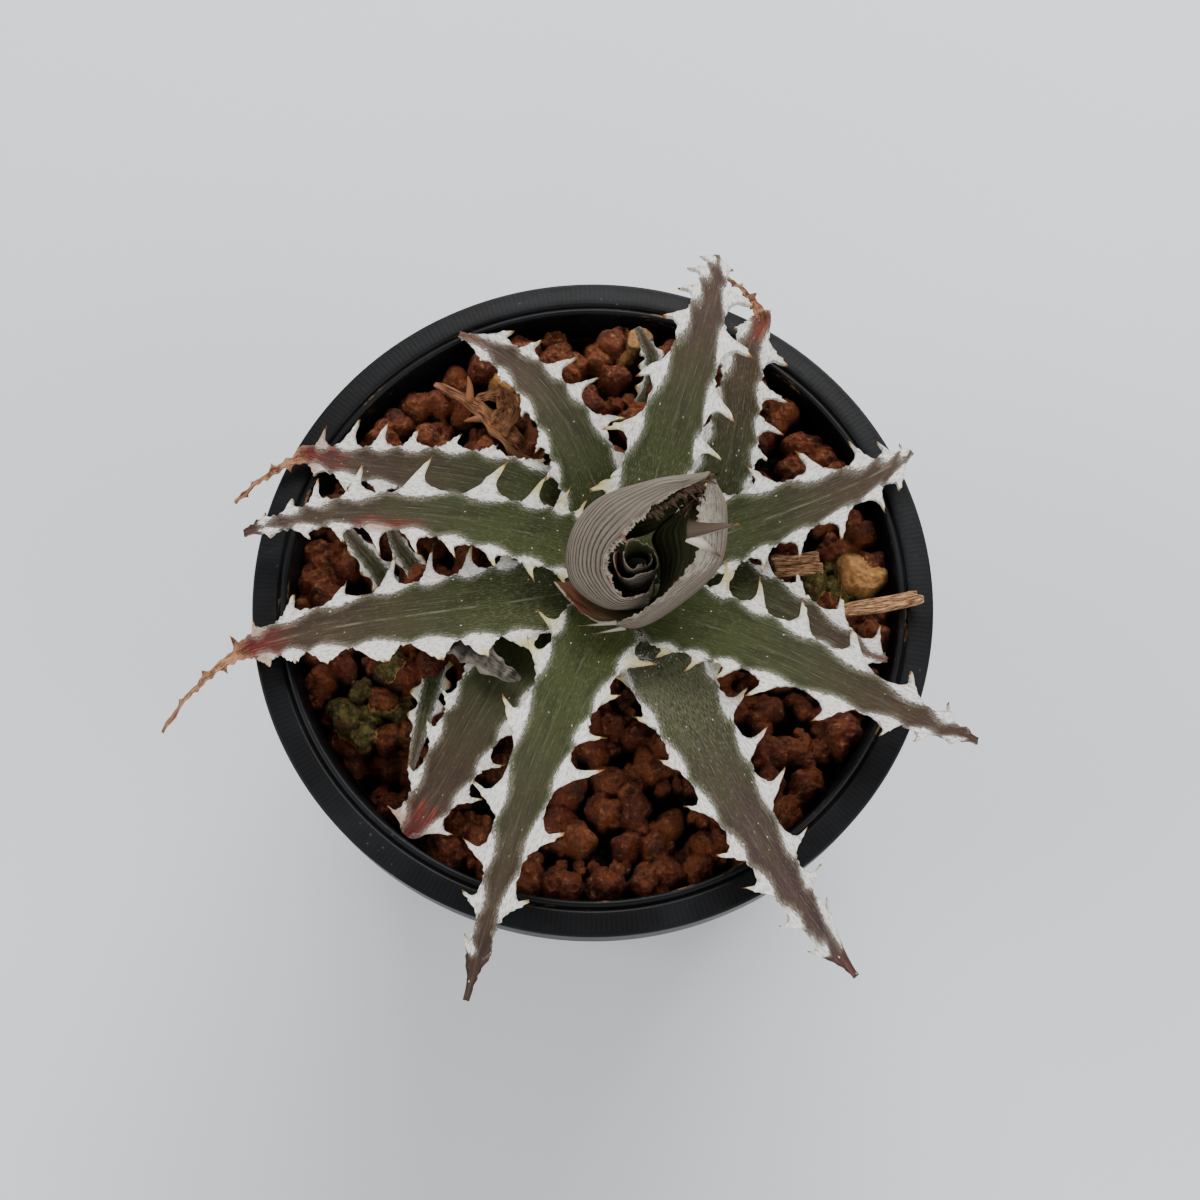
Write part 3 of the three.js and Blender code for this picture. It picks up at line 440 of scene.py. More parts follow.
def midrib(leaf, t):
    # out = root + (reach - root) s; side = bow 4s(1-s) + hook 8s(1-s)(2s-1) + shift (1-s);
    # height = root (1-s)^2 + 2 arch s(1-s) + tip s^2; a tail goes on as an arc of length / turn
    turn = leaf["azimuth"] * degree
    s = np.minimum(t, 1) if "tail" in leaf else t
    out = leafRoot + (leaf["reach"] - leafRoot) * s
    bow, hook, shift = leaf["bow"], leaf["hook"], leaf["shift"]
    side = bow * 4 * s * (1 - s) + hook * 8 * s * (1 - s) * (2 * s - 1) + shift * (1 - s)
    root, arch, tip = leaf["heights"]
    x = stem["x"] + out * math.cos(turn) - side * math.sin(turn)
    y = stem["y"] + out * math.sin(turn) + side * math.cos(turn)
    z = root * (1 - s) ** 2 + 2 * arch * s * (1 - s) + tip * s**2
    if "tail" in leaf:
        tail = leaf["tail"]
        share = np.maximum(t - 1, 0)
        slope = (-4 * bow - 8 * hook - shift) / (leaf["reach"] - leafRoot)
        start = turn + math.atan(slope) + tail["kink"] * degree
        bend = tail["turn"] * degree
        x = x + tail["length"] / bend * (np.sin(start + bend * share) - math.sin(start))
        y = y - tail["length"] / bend * (np.cos(start + bend * share) - math.cos(start))
        z = z - tail["drop"] * share**2
    return np.stack([x, y, z], -1)


def bladePoint(leaf, t, d, h):
    # the midrib's point, moved d to the left and h up, square to the midrib and rolled about it
    along = unit(midrib(leaf, t + 0.005) - midrib(leaf, t - 0.005))
    left, up = sideAndUp(along)
    roll = leaf.get("roll", 0) * degree
    left = left * math.cos(roll) + up * math.sin(roll)
    return midrib(leaf, t) + left * d[..., None] + np.cross(along, left) * h[..., None]


def bodyHalf(leaf, t):
    # half width = width / 2 (1 - t / end)^taper, no more than its share of the round at the stem
    end = 1.08 if "tail" in leaf else 1
    share = blade["rootSpread"] * (leafRoot + (leaf["reach"] - leafRoot) * t) - blade["gap"]
    half = leaf["width"] / 2 * np.maximum(1 - np.clip(t, 0, 1) / end, 0) ** leaf["taper"]
    return np.maximum(np.minimum(half, share), blade["tip"])


def bayLine(leaf, t):
    # how far out the bays between the teeth lie
    return bodyHalf(leaf, t) + blade["margin"] * (1 - 0.6 * t)


def bezier(a, b, c, d, s):
    # the cubic arc a (1-s)^3 + 3b s(1-s)^2 + 3c s^2(1-s) + d s^3
    return a * (1 - s) ** 3 + 3 * b * s * (1 - s) ** 2 + 3 * c * s**2 * (1 - s) + d * s**3


def marginLine(leaf, teeth, lobed):
    # For every row: the station where the green ends, the outline's station and distance, how far the
    # row stands up, its share of a tooth, and how close it is to a tooth's middle. A tooth is two cubic
    # arcs: a round bay that runs in under the hook, then a hollow slope down to the next bay.
    stations, reaches = np.array(teeth, float).T
    before = np.diff(stations, prepend=0)
    after = np.diff(stations, append=1)
    hook = 1 - lobed
    bays = stations - (blade["bay"] + 0.08 * (1 - hook)) * before
    nexts = np.append(bays[1:], 1.0)
    last = bodyHalf(leaf, np.ones(1))[0] + (0.2 if "tail" in leaf else 0.0)
    floorNow = bayLine(leaf, bays)
    floorNext = np.append(floorNow[1:], last)
    length = reaches - bayLine(leaf, stations)
    toBay, toNext = stations - bays, nexts - stations
    corner = stations + blade["corner"] * after * hook
    foot = stations + blade["base"] * after
    col = lambda x: x[:, None]
    between = lambda lobe, slim: col(lobe * (1 - hook) + slim * hook)
    s = np.arange(fineness["arc"])[None] / fineness["arc"]
    inT = bezier(col(bays), between(bays + 0.4 * toBay, corner + 0.04 * after),
                 between(stations - 0.1 * toBay, corner + 0.1 * after), col(stations), s)
    inD = bezier(col(floorNow), between(floorNow + 0.05 * length, floorNow - 0.1 * length),
                 between(floorNow + 0.8 * length, floorNow + 0.5 * length), col(reaches), s)
    outT = bezier(col(stations), between(stations + 0.2 * after, stations + 0.26 * after),
                  between(nexts - 0.25 * toNext, nexts - 0.5 * toNext), col(nexts), s)
    outD = bezier(col(reaches), between(reaches - 0.16 * length, reaches - 0.42 * length),
                  between(floorNext + 0.25 * length, floorNext), col(floorNext), s)
    start = np.arange(fineness["start"]) / fineness["start"] * bays[0]
    grown = start / bays[0]

    def rows(first, bay, slope, final):
        # the rows before the first bay, bay and slope of every tooth by turns, and the tip
        both = np.concatenate([bay + 0 * inT, slope + 0 * inT], 1)
        return np.concatenate([first, both.ravel(), [final]])

    t = rows(start, inT, outT, 1.0)
    startD = (bodyHalf(leaf, start) + 0.3) * (1 - grown) + bayLine(leaf, start) * grown
    d = rows(startD, inD, outD, last)
    edge = rows(start, col(bays) + (col(foot) - col(bays)) * s, col(foot) + (col(nexts) - col(foot)) * s, 1.0)
    tooth = rows(0 * start, s**1.5, (1 - s) ** 1.5, 0.0)
    lobe = rows(0 * start, np.sin(math.pi / 2 * s), np.cos(math.pi / 2 * s) ** 1.3, 0.0)
    reach = rows(0 * start, col(length), col(length), 0.0)
    seed = len(leaf["name"]) + int(reaches[0] * 10)
    spots = strewn(t * 60, d)
    ragged = 0.11 * waves(spots, 1.1, seed=seed) + 0.09 * waves(spots, 0.45, seed=seed + 1)
    bare = leaf.get("bare", 2)
    lobe = lobe - 3 * smooth(bare - 0.02, bare + 0.03, t)
    return {"t": t, "d": d + ragged * smooth(0.02, 0.1, t), "edge": edge, "tooth": tooth, "lobe": lobe,
            "rise": blade["toothRise"] * reach * tooth}


def tailLine(leaf, spines):
    # a dried tail: half width 1.4 (1 - share)^5 + 0.22 + 0.2 (1 - share), with thin spines (place, length)
    share = np.arange(1, fineness["tail"] + 1) / fineness["tail"]
    spike = sum(long * np.maximum(1 - np.abs(share - spot) / 0.03, 0) ** 1.4 for spot, long in spines)
    d = 1.4 * (1 - share) ** 5 + 0.2 * (1 - share) + 0.22 + spike
    d = d * (1 + 0.2 * waves(share[:, None] * leaf["tail"]["length"], 1.7, 6, seed=3))
    return {"t": 1 + share, "d": d, "edge": 1 + share, "tooth": spike, "lobe": 0 * share, "rise": 0.3 * spike}


def greenHalf(leaf, line):
    # half the green's width in every row, on a tail no wider than the tail
    half = bodyHalf(leaf, line["edge"])
    return np.where(line["edge"] > 1, np.minimum(half, 0.8 * line["d"]), half)


def marginGrid(leaf, line, sign):
    # from the outline in to the green: station, distance, height, thickness, distance past the green,
    # share of a tooth and closeness to its middle
    x = np.array([1, 0.985, 0.93, 0.82, 0.66, 0.48, 0.3, 0.14])[None]
    edge, outline, reach = [line[key][:, None] for key in ("edge", "t", "d")]
    half = greenHalf(leaf, line)[:, None]
    t = edge + (outline - edge) * x
    d = half + (reach - half) * x
    h = line["rise"][:, None] * x**2
    thick = blade["edge"] * (0.08 + 0.92 * np.sqrt(1 - 0.97 * x**4))
    past = np.maximum(d - bodyHalf(leaf, np.clip(t, 0, 1)), 0)
    return t, sign * d, h, thick + 0 * h, past, line["tooth"][:, None] * x, line["lobe"][:, None] + 0 * t


def bodyGrid(leaf, right, left):
    # the green body with the same seven values, hollow along its middle and thicker there
    c = np.linspace(0, 1, fineness["body"])[None]
    across = lambda a, b: a[:, None] * (1 - c) + b[:, None] * c
    halfRight, halfLeft = greenHalf(leaf, right), greenHalf(leaf, left)
    t, half = across(right["edge"], left["edge"]), across(halfRight, halfLeft)
    middle = 1 - np.abs(2 * c - 1) ** 1.5
    lobe = np.where(c > 0.5, left["lobe"][:, None], right["lobe"][:, None])
    return (t, across(-halfRight, halfLeft), -blade["channel"] * half * middle,
            blade["edge"] + blade["keel"] * half * middle, -half * (1 - np.abs(2 * c - 1)), 0 * t, lobe)


def leafPiece(leaf, material):
    # rows run along the leaf; columns run over the right margin, the green body and the left margin
    left, right = [marginLine(leaf, leaf[side], blunt)
                   for side, blunt in zip(("left", "right"), leaf.get("lobed", [0, 0]))]
    if "tail" in leaf:
        spines = [[(0.286, 0.8), (0.571, 0.5), (0.857, 0.3)],
                  [(0.1, leaf["tail"].get("spike", 0.6)), (0.43, 0.7), (0.714, 0.5)]]
        left, right = [{key: np.append(line[key], tailLine(leaf, side)[key]) for key in line}
                       for line, side in zip((left, right), spines)]
    grids = [marginGrid(leaf, right, -1), bodyGrid(leaf, right, left),
             [g[:, ::-1] for g in marginGrid(leaf, left, 1)]]
    t, d, h, thick, past, tooth, lobe = [np.concatenate(parts, 1) for parts in zip(*grids)]
    if "tail" in leaf:
        dried = smooth(0.97, 1.1, t)
        h = h + dried * 0.3 * waves(strewn(t * 18, d), 2.4, seed=9)
        thick = thick * (1 - 0.3 * dried)
    h = h + 0.06 * smooth(-0.3, 0.3, past) * waves(strewn(t * 60, d), 0.9, 24, seed=6)
    ridges = 0.04 * np.sin(d * 9 + 1.5 * np.sin(t * 7)) * smooth(0.2, -0.8, past)
    points, faces = shell(bladePoint(leaf, t, d, h + ridges), bladePoint(leaf, t, d, h - thick))
    spotT, spotD = leaf.get("blotch", [-9, 0])
    red = leaf["red"] * smooth(0.82, 1.02, t) + np.exp(-((t - spotT) / 0.1) ** 2 - ((d - spotD) / 1.5) ** 2)
    red = red * (1 - 0.7 * smooth(1.05, 1.25, t))
    purple = leaf["purple"] * smooth(leaf.get("browning", 0.3), 0.95, t)
    layers = {
        "skin": twice(t * (leaf["reach"] - leafRoot), d, past), "spot": twice(t, tooth, 0 * t),
        "tint": twice(red, purple, leaf["scurf"] + 0 * t),
        "extra": twice(leaf.get("midline", 0.15) + 0 * t, smooth(1.0, 1.14, t), lobe),
    }
    layers["spot"][t.size:, 2] = 1      # the underside
    return addPiece(leaf["name"] + "_fine", points, faces, [leaf["name"]], material, layers)


leafSkin = {
    "young": "373f18", "middle": "353720", "old": "402f21", "purple": "423030", "dark": "161609",
    "edge": "273513", "dash": "8f8c76", "white": "fffdf8", "shade": "d0c7b5", "cream": "dacb84",
    "horn": "a86a34", "strand": "6e6d52", "red": "52131a", "bright": "9c4430", "tail": "633527",
    "tailPale": "a8805f",
}


def leafMaterial(look):
    r = Recipe("leafSkin", look)
    along, side, past = r.parts(r.attribute("skin"))
    station, tooth, below = r.parts(r.attribute("spot"))
    red, purple, scurf = r.parts(r.attribute("tint"))
    midline, dried, lobe = r.parts(r.attribute("extra"))
    flat = r.vector(along, side)
    # green at the root and beside the margin, through grey olive, to brown and purple grey
    base = r.ramp(station, [(0.0, "young"), (0.45, "middle"), (0.95, "old")])
    cloud = r.noise(r.scaled(along, side, 0.05, 0.16), 3.0, 4.0)
    base = r.mix(r.times(purple, r.step(cloud, 0.35, 0.6, (0.35, 1.0))), base, "purple")
    greenEdge = r.times(r.step(past, -1.6, -0.2), r.step(station, 0.85, 0.35))
    base = r.mix(r.times(greenEdge, 0.65), base, "edge")
    base = r.cover(base, "dark", cloud, 0.45, 0.75, 0.45)
    # fine fibres and short dashes along the leaf
    fibres = r.noise(r.scaled(along, side, 0.08, 2.6), 1.7, 5.0, 0.72)
    base = r.cover(base, "dash", fibres, 0.54, 0.76, 0.4)
    base = r.cover(base, "dark", fibres, 0.47, 0.3, 0.6)
    dashes = r.noise(r.scaled(along, side, 0.55, 5.2), 2.0, 4.0, 0.65)
    many = r.times(r.plus(r.step(station, 0.5, 0.12), 0.3), r.times(scurf, 0.2))
    base = r.cover(base, "dash", r.plus(dashes, many), 0.62, 0.7, 0.35)
    rib = r.times(r.step(r.calc("ABSOLUTE", side), 0.25, 0.04), r.step(cloud, 0.4, 0.6))
    base = r.mix(r.times(rib, r.times(midline, 0.5)), base, "dash")
    # red in streaks, where the leaf carries it, and a paler underside
    blush = r.plus(r.plus(red, r.swing(fibres, 6.0)), r.swing(cloud, 0.6))
    crimson = r.mix(r.step(fibres, 0.5, 0.68), "red", "bright")
    base = r.mix(r.times(r.step(blush, 0.4, 0.95, (0.0, 0.95)), r.step(red, 0.05, 0.3)), base, crimson)
    base = r.mix(r.times(below, 0.35), base, "dash")
    # loose white scales: flecks here and there, a patchy frost at scurfy roots
    grainy = r.noise(flat, 3.4, 6.0, 0.85)
    flecks = r.cells(r.scaled(along, side, 0.7, 1.4), 1.7)
    keepCell = r.step(r.parts(flecks["Color"])[0], r.minus(0.97, r.times(scurf, 0.08)), 1.0)
    speck = r.times(r.step(flecks["Distance"], 0.22, 0.1), r.calc("GREATER_THAN", keepCell, 0.02))
    speck = r.times(speck, r.step(grainy, 0.42, 0.5))
    bands = r.noise(r.scaled(along, side, 0.42, 0.2), 1.0, 4.0, 0.7)
    frostAt = r.times(r.step(station, 0.32, 0.0), r.step(scurf, 0.3, 0.9))
    frostAt = r.plus(r.times(frostAt, 0.2), r.times(r.minus(bands, 0.55), 0.6))
    frost = r.times(r.step(r.plus(grainy, frostAt), 0.66, 0.72), r.step(scurf, 0.25, 0.6, (0.0, 0.75)))
    frost = r.times(frost, r.step(station, 0.36, 0.1))
    base = r.mix(r.calc("MAXIMUM", r.times(speck, 0.85), frost), base, "white")
    # the chalky margin: a thin line in the bays, deep lobes in the teeth, combed into the green
    comb = r.plus(r.minus(past, 0.3), r.times(lobe, 0.95))
    comb = r.plus(r.plus(comb, r.swing(dashes, 2.4)), r.swing(grainy, 1.5))
    chalk = r.step(comb, -0.02, 0.16)
    base = r.cover(base, "shade", comb, -0.9, 0.0, 0.16)
    fuzz = r.noise(flat, 5.0, 5.0, 0.85)
    coarse = r.noise(flat, 1.3, 4.0, 0.7)
    tufts = r.noise(r.scaled(along, side, 0.9, 2.2), 1.3, 5.0, 0.75)
    margin = r.mix(r.step(r.plus(tufts, r.times(fuzz, 0.35)), 0.56, 0.72), "shade", "white")
    margin = r.cover(margin, "strand", dashes, 0.45, 0.34, 0.55)
    wearAt = r.plus(r.times(tooth, 0.6), r.times(r.step(station, 0.55, 0.0), 0.4))
    margin = r.cover(margin, "cream", r.plus(wearAt, r.times(coarse, 0.4)), 0.48, 0.88, 0.85)
    margin = r.cover(margin, "tailPale", red, 0.35, 0.9, 0.75)
    margin = r.cover(margin, "horn", r.plus(tooth, r.times(fuzz, 0.12)), 0.84, 0.98, 0.9)
    base = r.mix(chalk, base, margin)
    withered = r.mix(r.step(r.plus(fibres, r.swing(coarse, 0.5)), 0.35, 0.62), "tail", "tailPale")
    base = r.mix(dried, base, withered)
    rough = r.plus(r.plus(r.times(chalk, 0.45), r.times(fibres, 0.3)), 0.32)
    bump = r.relief((fibres, 0.7, 0.0005), (dashes, 0.12, 0.0003), (r.times(tufts, chalk), 0.6, 0.0011),
                    (r.times(fuzz, chalk), 0.5, 0.0006), (r.calc("MAXIMUM", speck, frost), 0.5, 0.0002))
    return r.finish(base, rough, 0.13, bump)


leafFinish = leafMaterial(leafSkin)
for leaf in leaves:
    leafPiece(leaf, leafFinish)
print("leaves made:", len(leaves))


# core

# Two open leaves as three lines each, from the stem over the widest line to the free margin, and the bud.
# Spines are start, end, radius and how brown; frays are bundles of strands; teeth are place and length on
# the margin. dark is how dark the stripes are, worn how much chalk lies outside, flip turns the faces.
core = {
    "thickness": 0.9,
    "hood": {
        "low": [
            [8.6, -1, 95.6], [4.6, -2.3, 95.5], [0.8, -0.6, 95.5], [0.1, 3, 95.6],
            [2, 6.4, 95.8], [9, 8, 98], [16.6, 11, 115.8],
        ],
        "wide": [
            [8.5, -3.6, 98], [2, -4, 98.7], [-3, -0.5, 101.2], [-3, 4.5, 104.5],
            [0.5, 9, 107.5], [8.5, 10.5, 112], [17.2, 10.7, 116.8],
        ],
        "margin": [
            [8.5, -2, 100], [5, -3.3, 101.3], [2.5, 0, 104], [3, 2, 106.3],
            [6, 4.5, 109.7], [10, 7.5, 113.8], [16.5, 10, 117],
        ],
        "bulge": 1.2,
        "spines": [],
        "frays": [
            {"from": [8.4, 6.4, 111.6], "to": [16.6, 10.2, 116.8], "lean": [0.6, -0.6, 0.1], "count": 90,
             "length": 1.1, "radius": 0.3, "brown": 0.95},
            {"from": [12.5, 9, 114.4], "to": [16.8, 10.6, 117], "lean": [0.9, -0.1, 0.1], "count": 36,
             "length": 1.2, "radius": 0.3, "brown": 0.95},
        ],
        "stripes": 25, "dark": 1.0, "worn": 0.3, "flip": True, "rows": 320, "columns": 64,
        "teeth": [[0.14, 0.012], [0.3, 0.02], [0.45, 0.015], [0.6, 0.03], [0.74, 0.035], [0.86, 0.03]],
    },
    "wrap": {
        "low": [
            [-0.6, 2.6, 94.4], [0, -0.6, 94.4], [2.4, -2.8, 94.4], [6.4, -3.2, 94.5],
            [9.8, -1, 94.8], [10.2, 4.2, 95.6], [9, 7, 98], [14.6, 9.4, 108.5],
        ],
        "wide": [
            [-3.9, 0.8, 95], [-1.3, -2.3, 95.2], [2, -4.7, 95.9], [6.4, -6.8, 97.6],
            [12.5, -4.5, 101], [18.3, 0.5, 105], [19, 7, 110], [17.3, 10, 115],
        ],
        "margin": [
            [-5.9, 0.9, 95.7], [-3, -2.9, 96.2], [0.8, -6, 97.2], [5.6, -5.9, 99.6],
            [11, -3, 104], [15.3, 1.2, 108.8], [15.2, 7, 113], [17, 10, 116],
        ],
        "bulge": 0.6,
        "spines": [
            [[3.6, -6.5, 98.6], [-2.2, -7, 98.4], 0.34, 0.55],
            [[4.9, -7.2, 98.2], [-0.1, -8.2, 98.2], 0.34, 0.55],
            [[14.2, 4.2, 110.8], [21.6, 4.8, 111.5], 1.75, 0.8],
            [[14.6, 3.4, 110.6], [19.2, 0.3, 109.2], 1.4, 0.2],
        ],
        "frays": [
            {"from": [13.2, 7.4, 108.5], "to": [16.2, 9.6, 114], "lean": [-0.1, -0.5, 0.7], "count": 60,
             "length": 1.8, "radius": 0.45, "brown": 0.95},
        ],
        "stripes": 32, "dark": 0.65, "worn": 0.8, "flip": False, "rows": 340, "columns": 60,
        "teeth": [
            [0.1, 0.03], [0.2, 0.05], [0.3, 0.03], [0.42, 0.03],
            [0.53, 0.02], [0.66, 0.03], [0.78, 0.03], [0.9, 0.03],
        ],
    },
    "bud": {
        "x": 6.6, "y": 2.2, "bottom": 94.8, "height": 7.6, "radius": 3.3, "flare": 0.06, "wall": 0.4,
        "turn": 600, "start": 150, "inward": 1.5, "lean": 0.22,
        "stripes": 9, "dark": 0.8, "worn": 0.2, "flip": False, "rows": 190, "columns": 28,
    },
}


def offsetShell(point, part, thickness):
    # a sheet point(u, v) on a grid, moved half its thickness along its normal to either side, thin at its
    # edge; the sheet layer keeps u, v and 1 on the outer face
    columns, flip = part["columns"], part["flip"]
    u, v = np.meshgrid(np.linspace(0, 1, part["rows"]), np.linspace(0, 1, columns), indexing="ij")
    step = 1e-3
    du = point(np.minimum(u + step, 1), v) - point(np.maximum(u - step, 0), v)
    dv = point(u, v + step) - point(u, v - step)
    edge = np.minimum(np.minimum(v, 1 - v) * columns / 3, 1)
    half = thickness / 2 * (0.2 + 0.8 * np.sqrt(1 - (1 - edge) ** 2)) * (1 - 0.5 * smooth(0.7, 1, v))
    middle, away = point(u, v), unit(np.cross(du, dv)) * half[..., None]
    points, faces = shell(middle + away, middle - away)
    sheet = twice(u, v, 0 * u)
    sheet[u.size * flip:u.size * (1 + flip), 2] = 1
    return points, faces, sheet


def tears(part, u):
    # how far the margin runs past v = 1: small teeth amount (1 - |u - place| / width)^1.4, a little at random
    line, seed = strewn(u * 60, 0), part["stripes"]
    reach = 0.008 * waves(line, 3.1, seed=seed) + 0.005 * waves(line, 0.9, seed=seed + 1)
    for spot, amount in part["teeth"]:
        away = np.where(u < spot, (spot - u) / 0.035, (u - spot) / 0.016)
        reach = reach + amount * np.maximum(1 - away, 0) ** 1.4
    return reach - 0.012


def coreLeaf(part, node, material):
    # quadratic across: low (1-v)(1-2v) + wide 4v(1-v) + margin v(2v-1), lifted by a bulge
    def point(u, v):
        v = v + tears(part, u) * smooth(0.8, 1, v)
        a, b, c = [splineAt(part[line], u) for line in ("low", "wide", "margin")]
        w = v[..., None]
        middle = a * (1 - w) * (1 - 2 * w) + b * 4 * w * (1 - w) + c * w * (2 * w - 1)
        ripple = 0.14 * waves(strewn(u * 30, v * 10), 4, seed=5) * smooth(0.3, 1, v)
        middle[..., 2] += part["bulge"] * np.sin(math.pi * u) * 4 * v * (1 - v) + ripple
        return middle

    points, faces, sheet = offsetShell(point, part, core["thickness"])
    rim = sheet[:, 1].copy()
    sheet[:, 1] += tears(part, sheet[:, 0]) * smooth(0.8, 1, rim)
    rods = part["spines"] + [rod for fray in part["frays"] for rod in frayRods(fray)]
    for start, end, radius, brown in rods:
        rings, sides = (17, 12) if radius > 0.6 else (9, 8)
        line, s = bentLine(start, end, rings, np.array([0, -0.3, 0.5]) * min(radius, 1))
        width = radius * (0.5 * (1 - s) ** 0.8 + 0.5 * (1 - s) ** 2.2) + 0.04
        points, faces = joined(points, faces, *roundRod(line, width, sides, 0.6))
        # the sheet layer of a spine holds how far along and how brown, and 2 for a spine or 3 for a strand
        along = np.maximum(np.append(np.repeat(s, sides), [0.0, 1.0]), brown)
        strand = brown >= 0.9
        sheet = np.concatenate([sheet, np.stack([along, 0 * along + 1, 0 * along + 2 + strand], -1)])
        across = np.abs(np.cos(np.arange(sides) / sides * circle))
        rim = np.concatenate([rim, np.tile(across * (not strand), rings), [0.0, 0.0]])
    points[:, 2] = np.minimum(points[:, 2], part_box(node)[1][2] / mm)
    return addPiece(node + "_fine", points, faces, [node], material, {"sheet": sheet, "rim": rim})


def frayRods(fray):
    # short strands that start along a line and lean one way, each a little off
    source = np.random.default_rng(fray["count"])
    share = (np.arange(fray["count"])[:, None] + source.random((fray["count"], 1))) / fray["count"]
    starts = np.array(fray["from"]) + np.subtract(fray["to"], fray["from"]) * share
    starts += 0.15 * source.normal(size=starts.shape)
    ends = starts + (np.array(fray["lean"]) + 0.35 * source.normal(size=starts.shape)) * fray["length"] * (
        0.5 + source.random(share.shape))
    radii = fray["radius"] * (0.5 + source.random(fray["count"]))
    return [[a, b, radius, fray["brown"]] for a, b, radius in zip(starts, ends, radii)]


def bentLine(start, end, count, bend):
    # a straight line plus bend 4 s (1 - s), and its shares s
    start, end = np.array(start), np.array(end)
    s = np.linspace(0, 1, count)[:, None]
    return start + (end - start) * s + bend * (4 * s * (1 - s)), s[:, 0]


def roundRod(line, radius, sides, flat=1.0):
    # a circle carried along a line of points, its radius given point by point, flattened upwards
    along = unit(np.gradient(line, axis=0))
    left = unit(np.cross(along, [0.02, 0.03, 1.0]))
    up = np.cross(left, along)
    turn = np.arange(sides) / sides * circle
    ring = left[:, None] * np.cos(turn)[None, :, None] + flat * up[:, None] * np.sin(turn)[None, :, None]
    return tube(line[:, None] + ring * np.asarray(radius)[:, None, None])


def budPiece(part, material):
    # young leaves rolled into each other: r = radius - wall / 2 - inward u over turn degrees, with a flare
    # v^2; the inner ones stand higher and to the back, the rim is ragged
    def point(u, v):
        turn = (part["start"] + part["turn"] * u) * degree
        line = strewn(u * 40, 0)
        torn = 0.13 * waves(line, 6.5, seed=3) + 0.05 * waves(line, 1.6, seed=4)
        v = v * (1 + torn * smooth(0.5, 1, v))
        r = (part["radius"] - part["wall"] / 2 - part["inward"] * u) * (1 + part["flare"] * v * v * (1 - u))
        r = r * (1 + (0.12 * np.sin(2 * turn + 1) + 0.08 * np.sin(3 * turn + 2)) * v)
        z = part["bottom"] + part["height"] * v * (1 - part["lean"] * np.cos(turn)) * (0.86 + 0.16 * u)
        x, y = part["x"] + r * np.cos(turn) + 0.4 * u, part["y"] + r * np.sin(turn) + 0.9 * u
        return np.stack([x, y, z], -1)

    points, faces, sheet = offsetShell(point, part, part["wall"])
    layers = {"sheet": sheet, "rim": 1 - 0.4 * (1 - sheet[:, 1])}
    return addPiece("core_bud_fine", points, faces, ["core_bud"], material, layers)


# throat is painted shade for the deep inside of the core leaves, near the stem
coreSkin = {
    "pale": "837a6d", "grey": "5f564c", "stripe": "2c2015", "green": "31351b", "inner": "5a573b",
    "lining": "6e3020", "tan": "7a5539", "rim": "9e9282", "chalk": "c4bbae", "thorn": "33291d",
    "horn": "8a5228", "thornPale": "b9b2a4", "throatShade": "161809",
}


def coreMaterial(name, look, part):
    r = Recipe(name, look)
    dark, worn = part["dark"], part["worn"]
    u, v, face = r.parts(r.attribute("sheet"))
    rim = r.attribute("rim", "Fac")
    wobble = r.noise(r.scaled(u, v, 3.0, 2.0), 2.0, 3.0)
    wave = r.calc("SINE", r.times(r.plus(v, r.swing(wobble, 0.03)), circle * part["stripes"]))
    fine = r.noise(r.scaled(u, v, 2.0, 70.0), 1.0, 4.0, 0.7)
    scuff = r.noise(r.scaled(u, v, 16.0, 10.0), 2.0, 5.0, 0.75)
    # the striped outside, chalky towards its margin
    outer = r.mix(r.step(fine, 0.35, 0.65), "grey", "pale")
    strong = r.times(r.step(scuff, 0.75, 0.35, (0.5 * dark, dark)), r.step(u, 0.85, 0.5, (0.3, 1.0)))
    outer = r.mix(r.times(r.step(wave, 0.3, 0.9), strong), outer, "stripe")
    chalkAt = r.plus(r.plus(v, r.swing(scuff, 0.9)), r.times(r.step(u, 0.58, 0.75), 0.3 * worn - 0.1))
    outer = r.cover(outer, "chalk", chalkAt, 1.15 - 0.35 * worn, 1.3 - 0.2 * worn, 0.5)
    # the green inside, with a red lining, and painted shade darkening it deep in the throat
    inner = r.mix(r.step(fine, 0.42, 0.66), "green", "inner")
    inner = r.cover(inner, "pale", scuff, 0.62, 0.8, 0.25)
    lit = r.times(r.step(u, 0.42, 0.18), r.step(r.plus(fine, r.times(scuff, 0.5)), 0.66, 0.8))
    inner = r.mix(r.times(lit, 0.85), inner, "lining")
    inner = r.cover(inner, "throatShade", v, 0.4, 0.05, 0.6)
    base = r.mix(r.calc("LESS_THAN", face, 0.5), outer, inner)
    # the withered rim
    patches = r.noise(r.vector(r.times(u, 14.0), 0.0), 1.0, 2.0)
    edge = r.mix(r.step(patches, 0.52, 0.66), "rim", "tan")
    base = r.cover(base, edge, r.plus(rim, r.swing(scuff, 0.12)), 0.965, 0.995, 0.85)
    # spines with a horn tip, and strands
    thorn = r.mix(r.step(u, 0.1, 0.9), "thornPale", "thorn")
    strands = r.noise(r.scaled(u, rim, 2.0, 9.0), 1.0, 4.0, 0.7)
    thorn = r.cover(thorn, "tan", strands, 0.45, 0.65, 0.25)
    thorn = r.cover(thorn, "thornPale", r.plus(rim, strands), 1.3, 1.6, 0.6)
    thorn = r.mix(r.times(r.step(u, 0.88, 0.99), r.calc("LESS_THAN", face, 2.5)), thorn, "horn")
    base = r.mix(r.calc("GREATER_THAN", face, 1.5), base, thorn)
    bump = r.relief((r.times(wave, -1.0), 0.5, 0.0003), (fine, 0.5, 0.0003), (scuff, 0.4, 0.0003))
    return r.finish(base, r.plus(0.55, r.times(scuff, 0.4)), 0.2, bump)


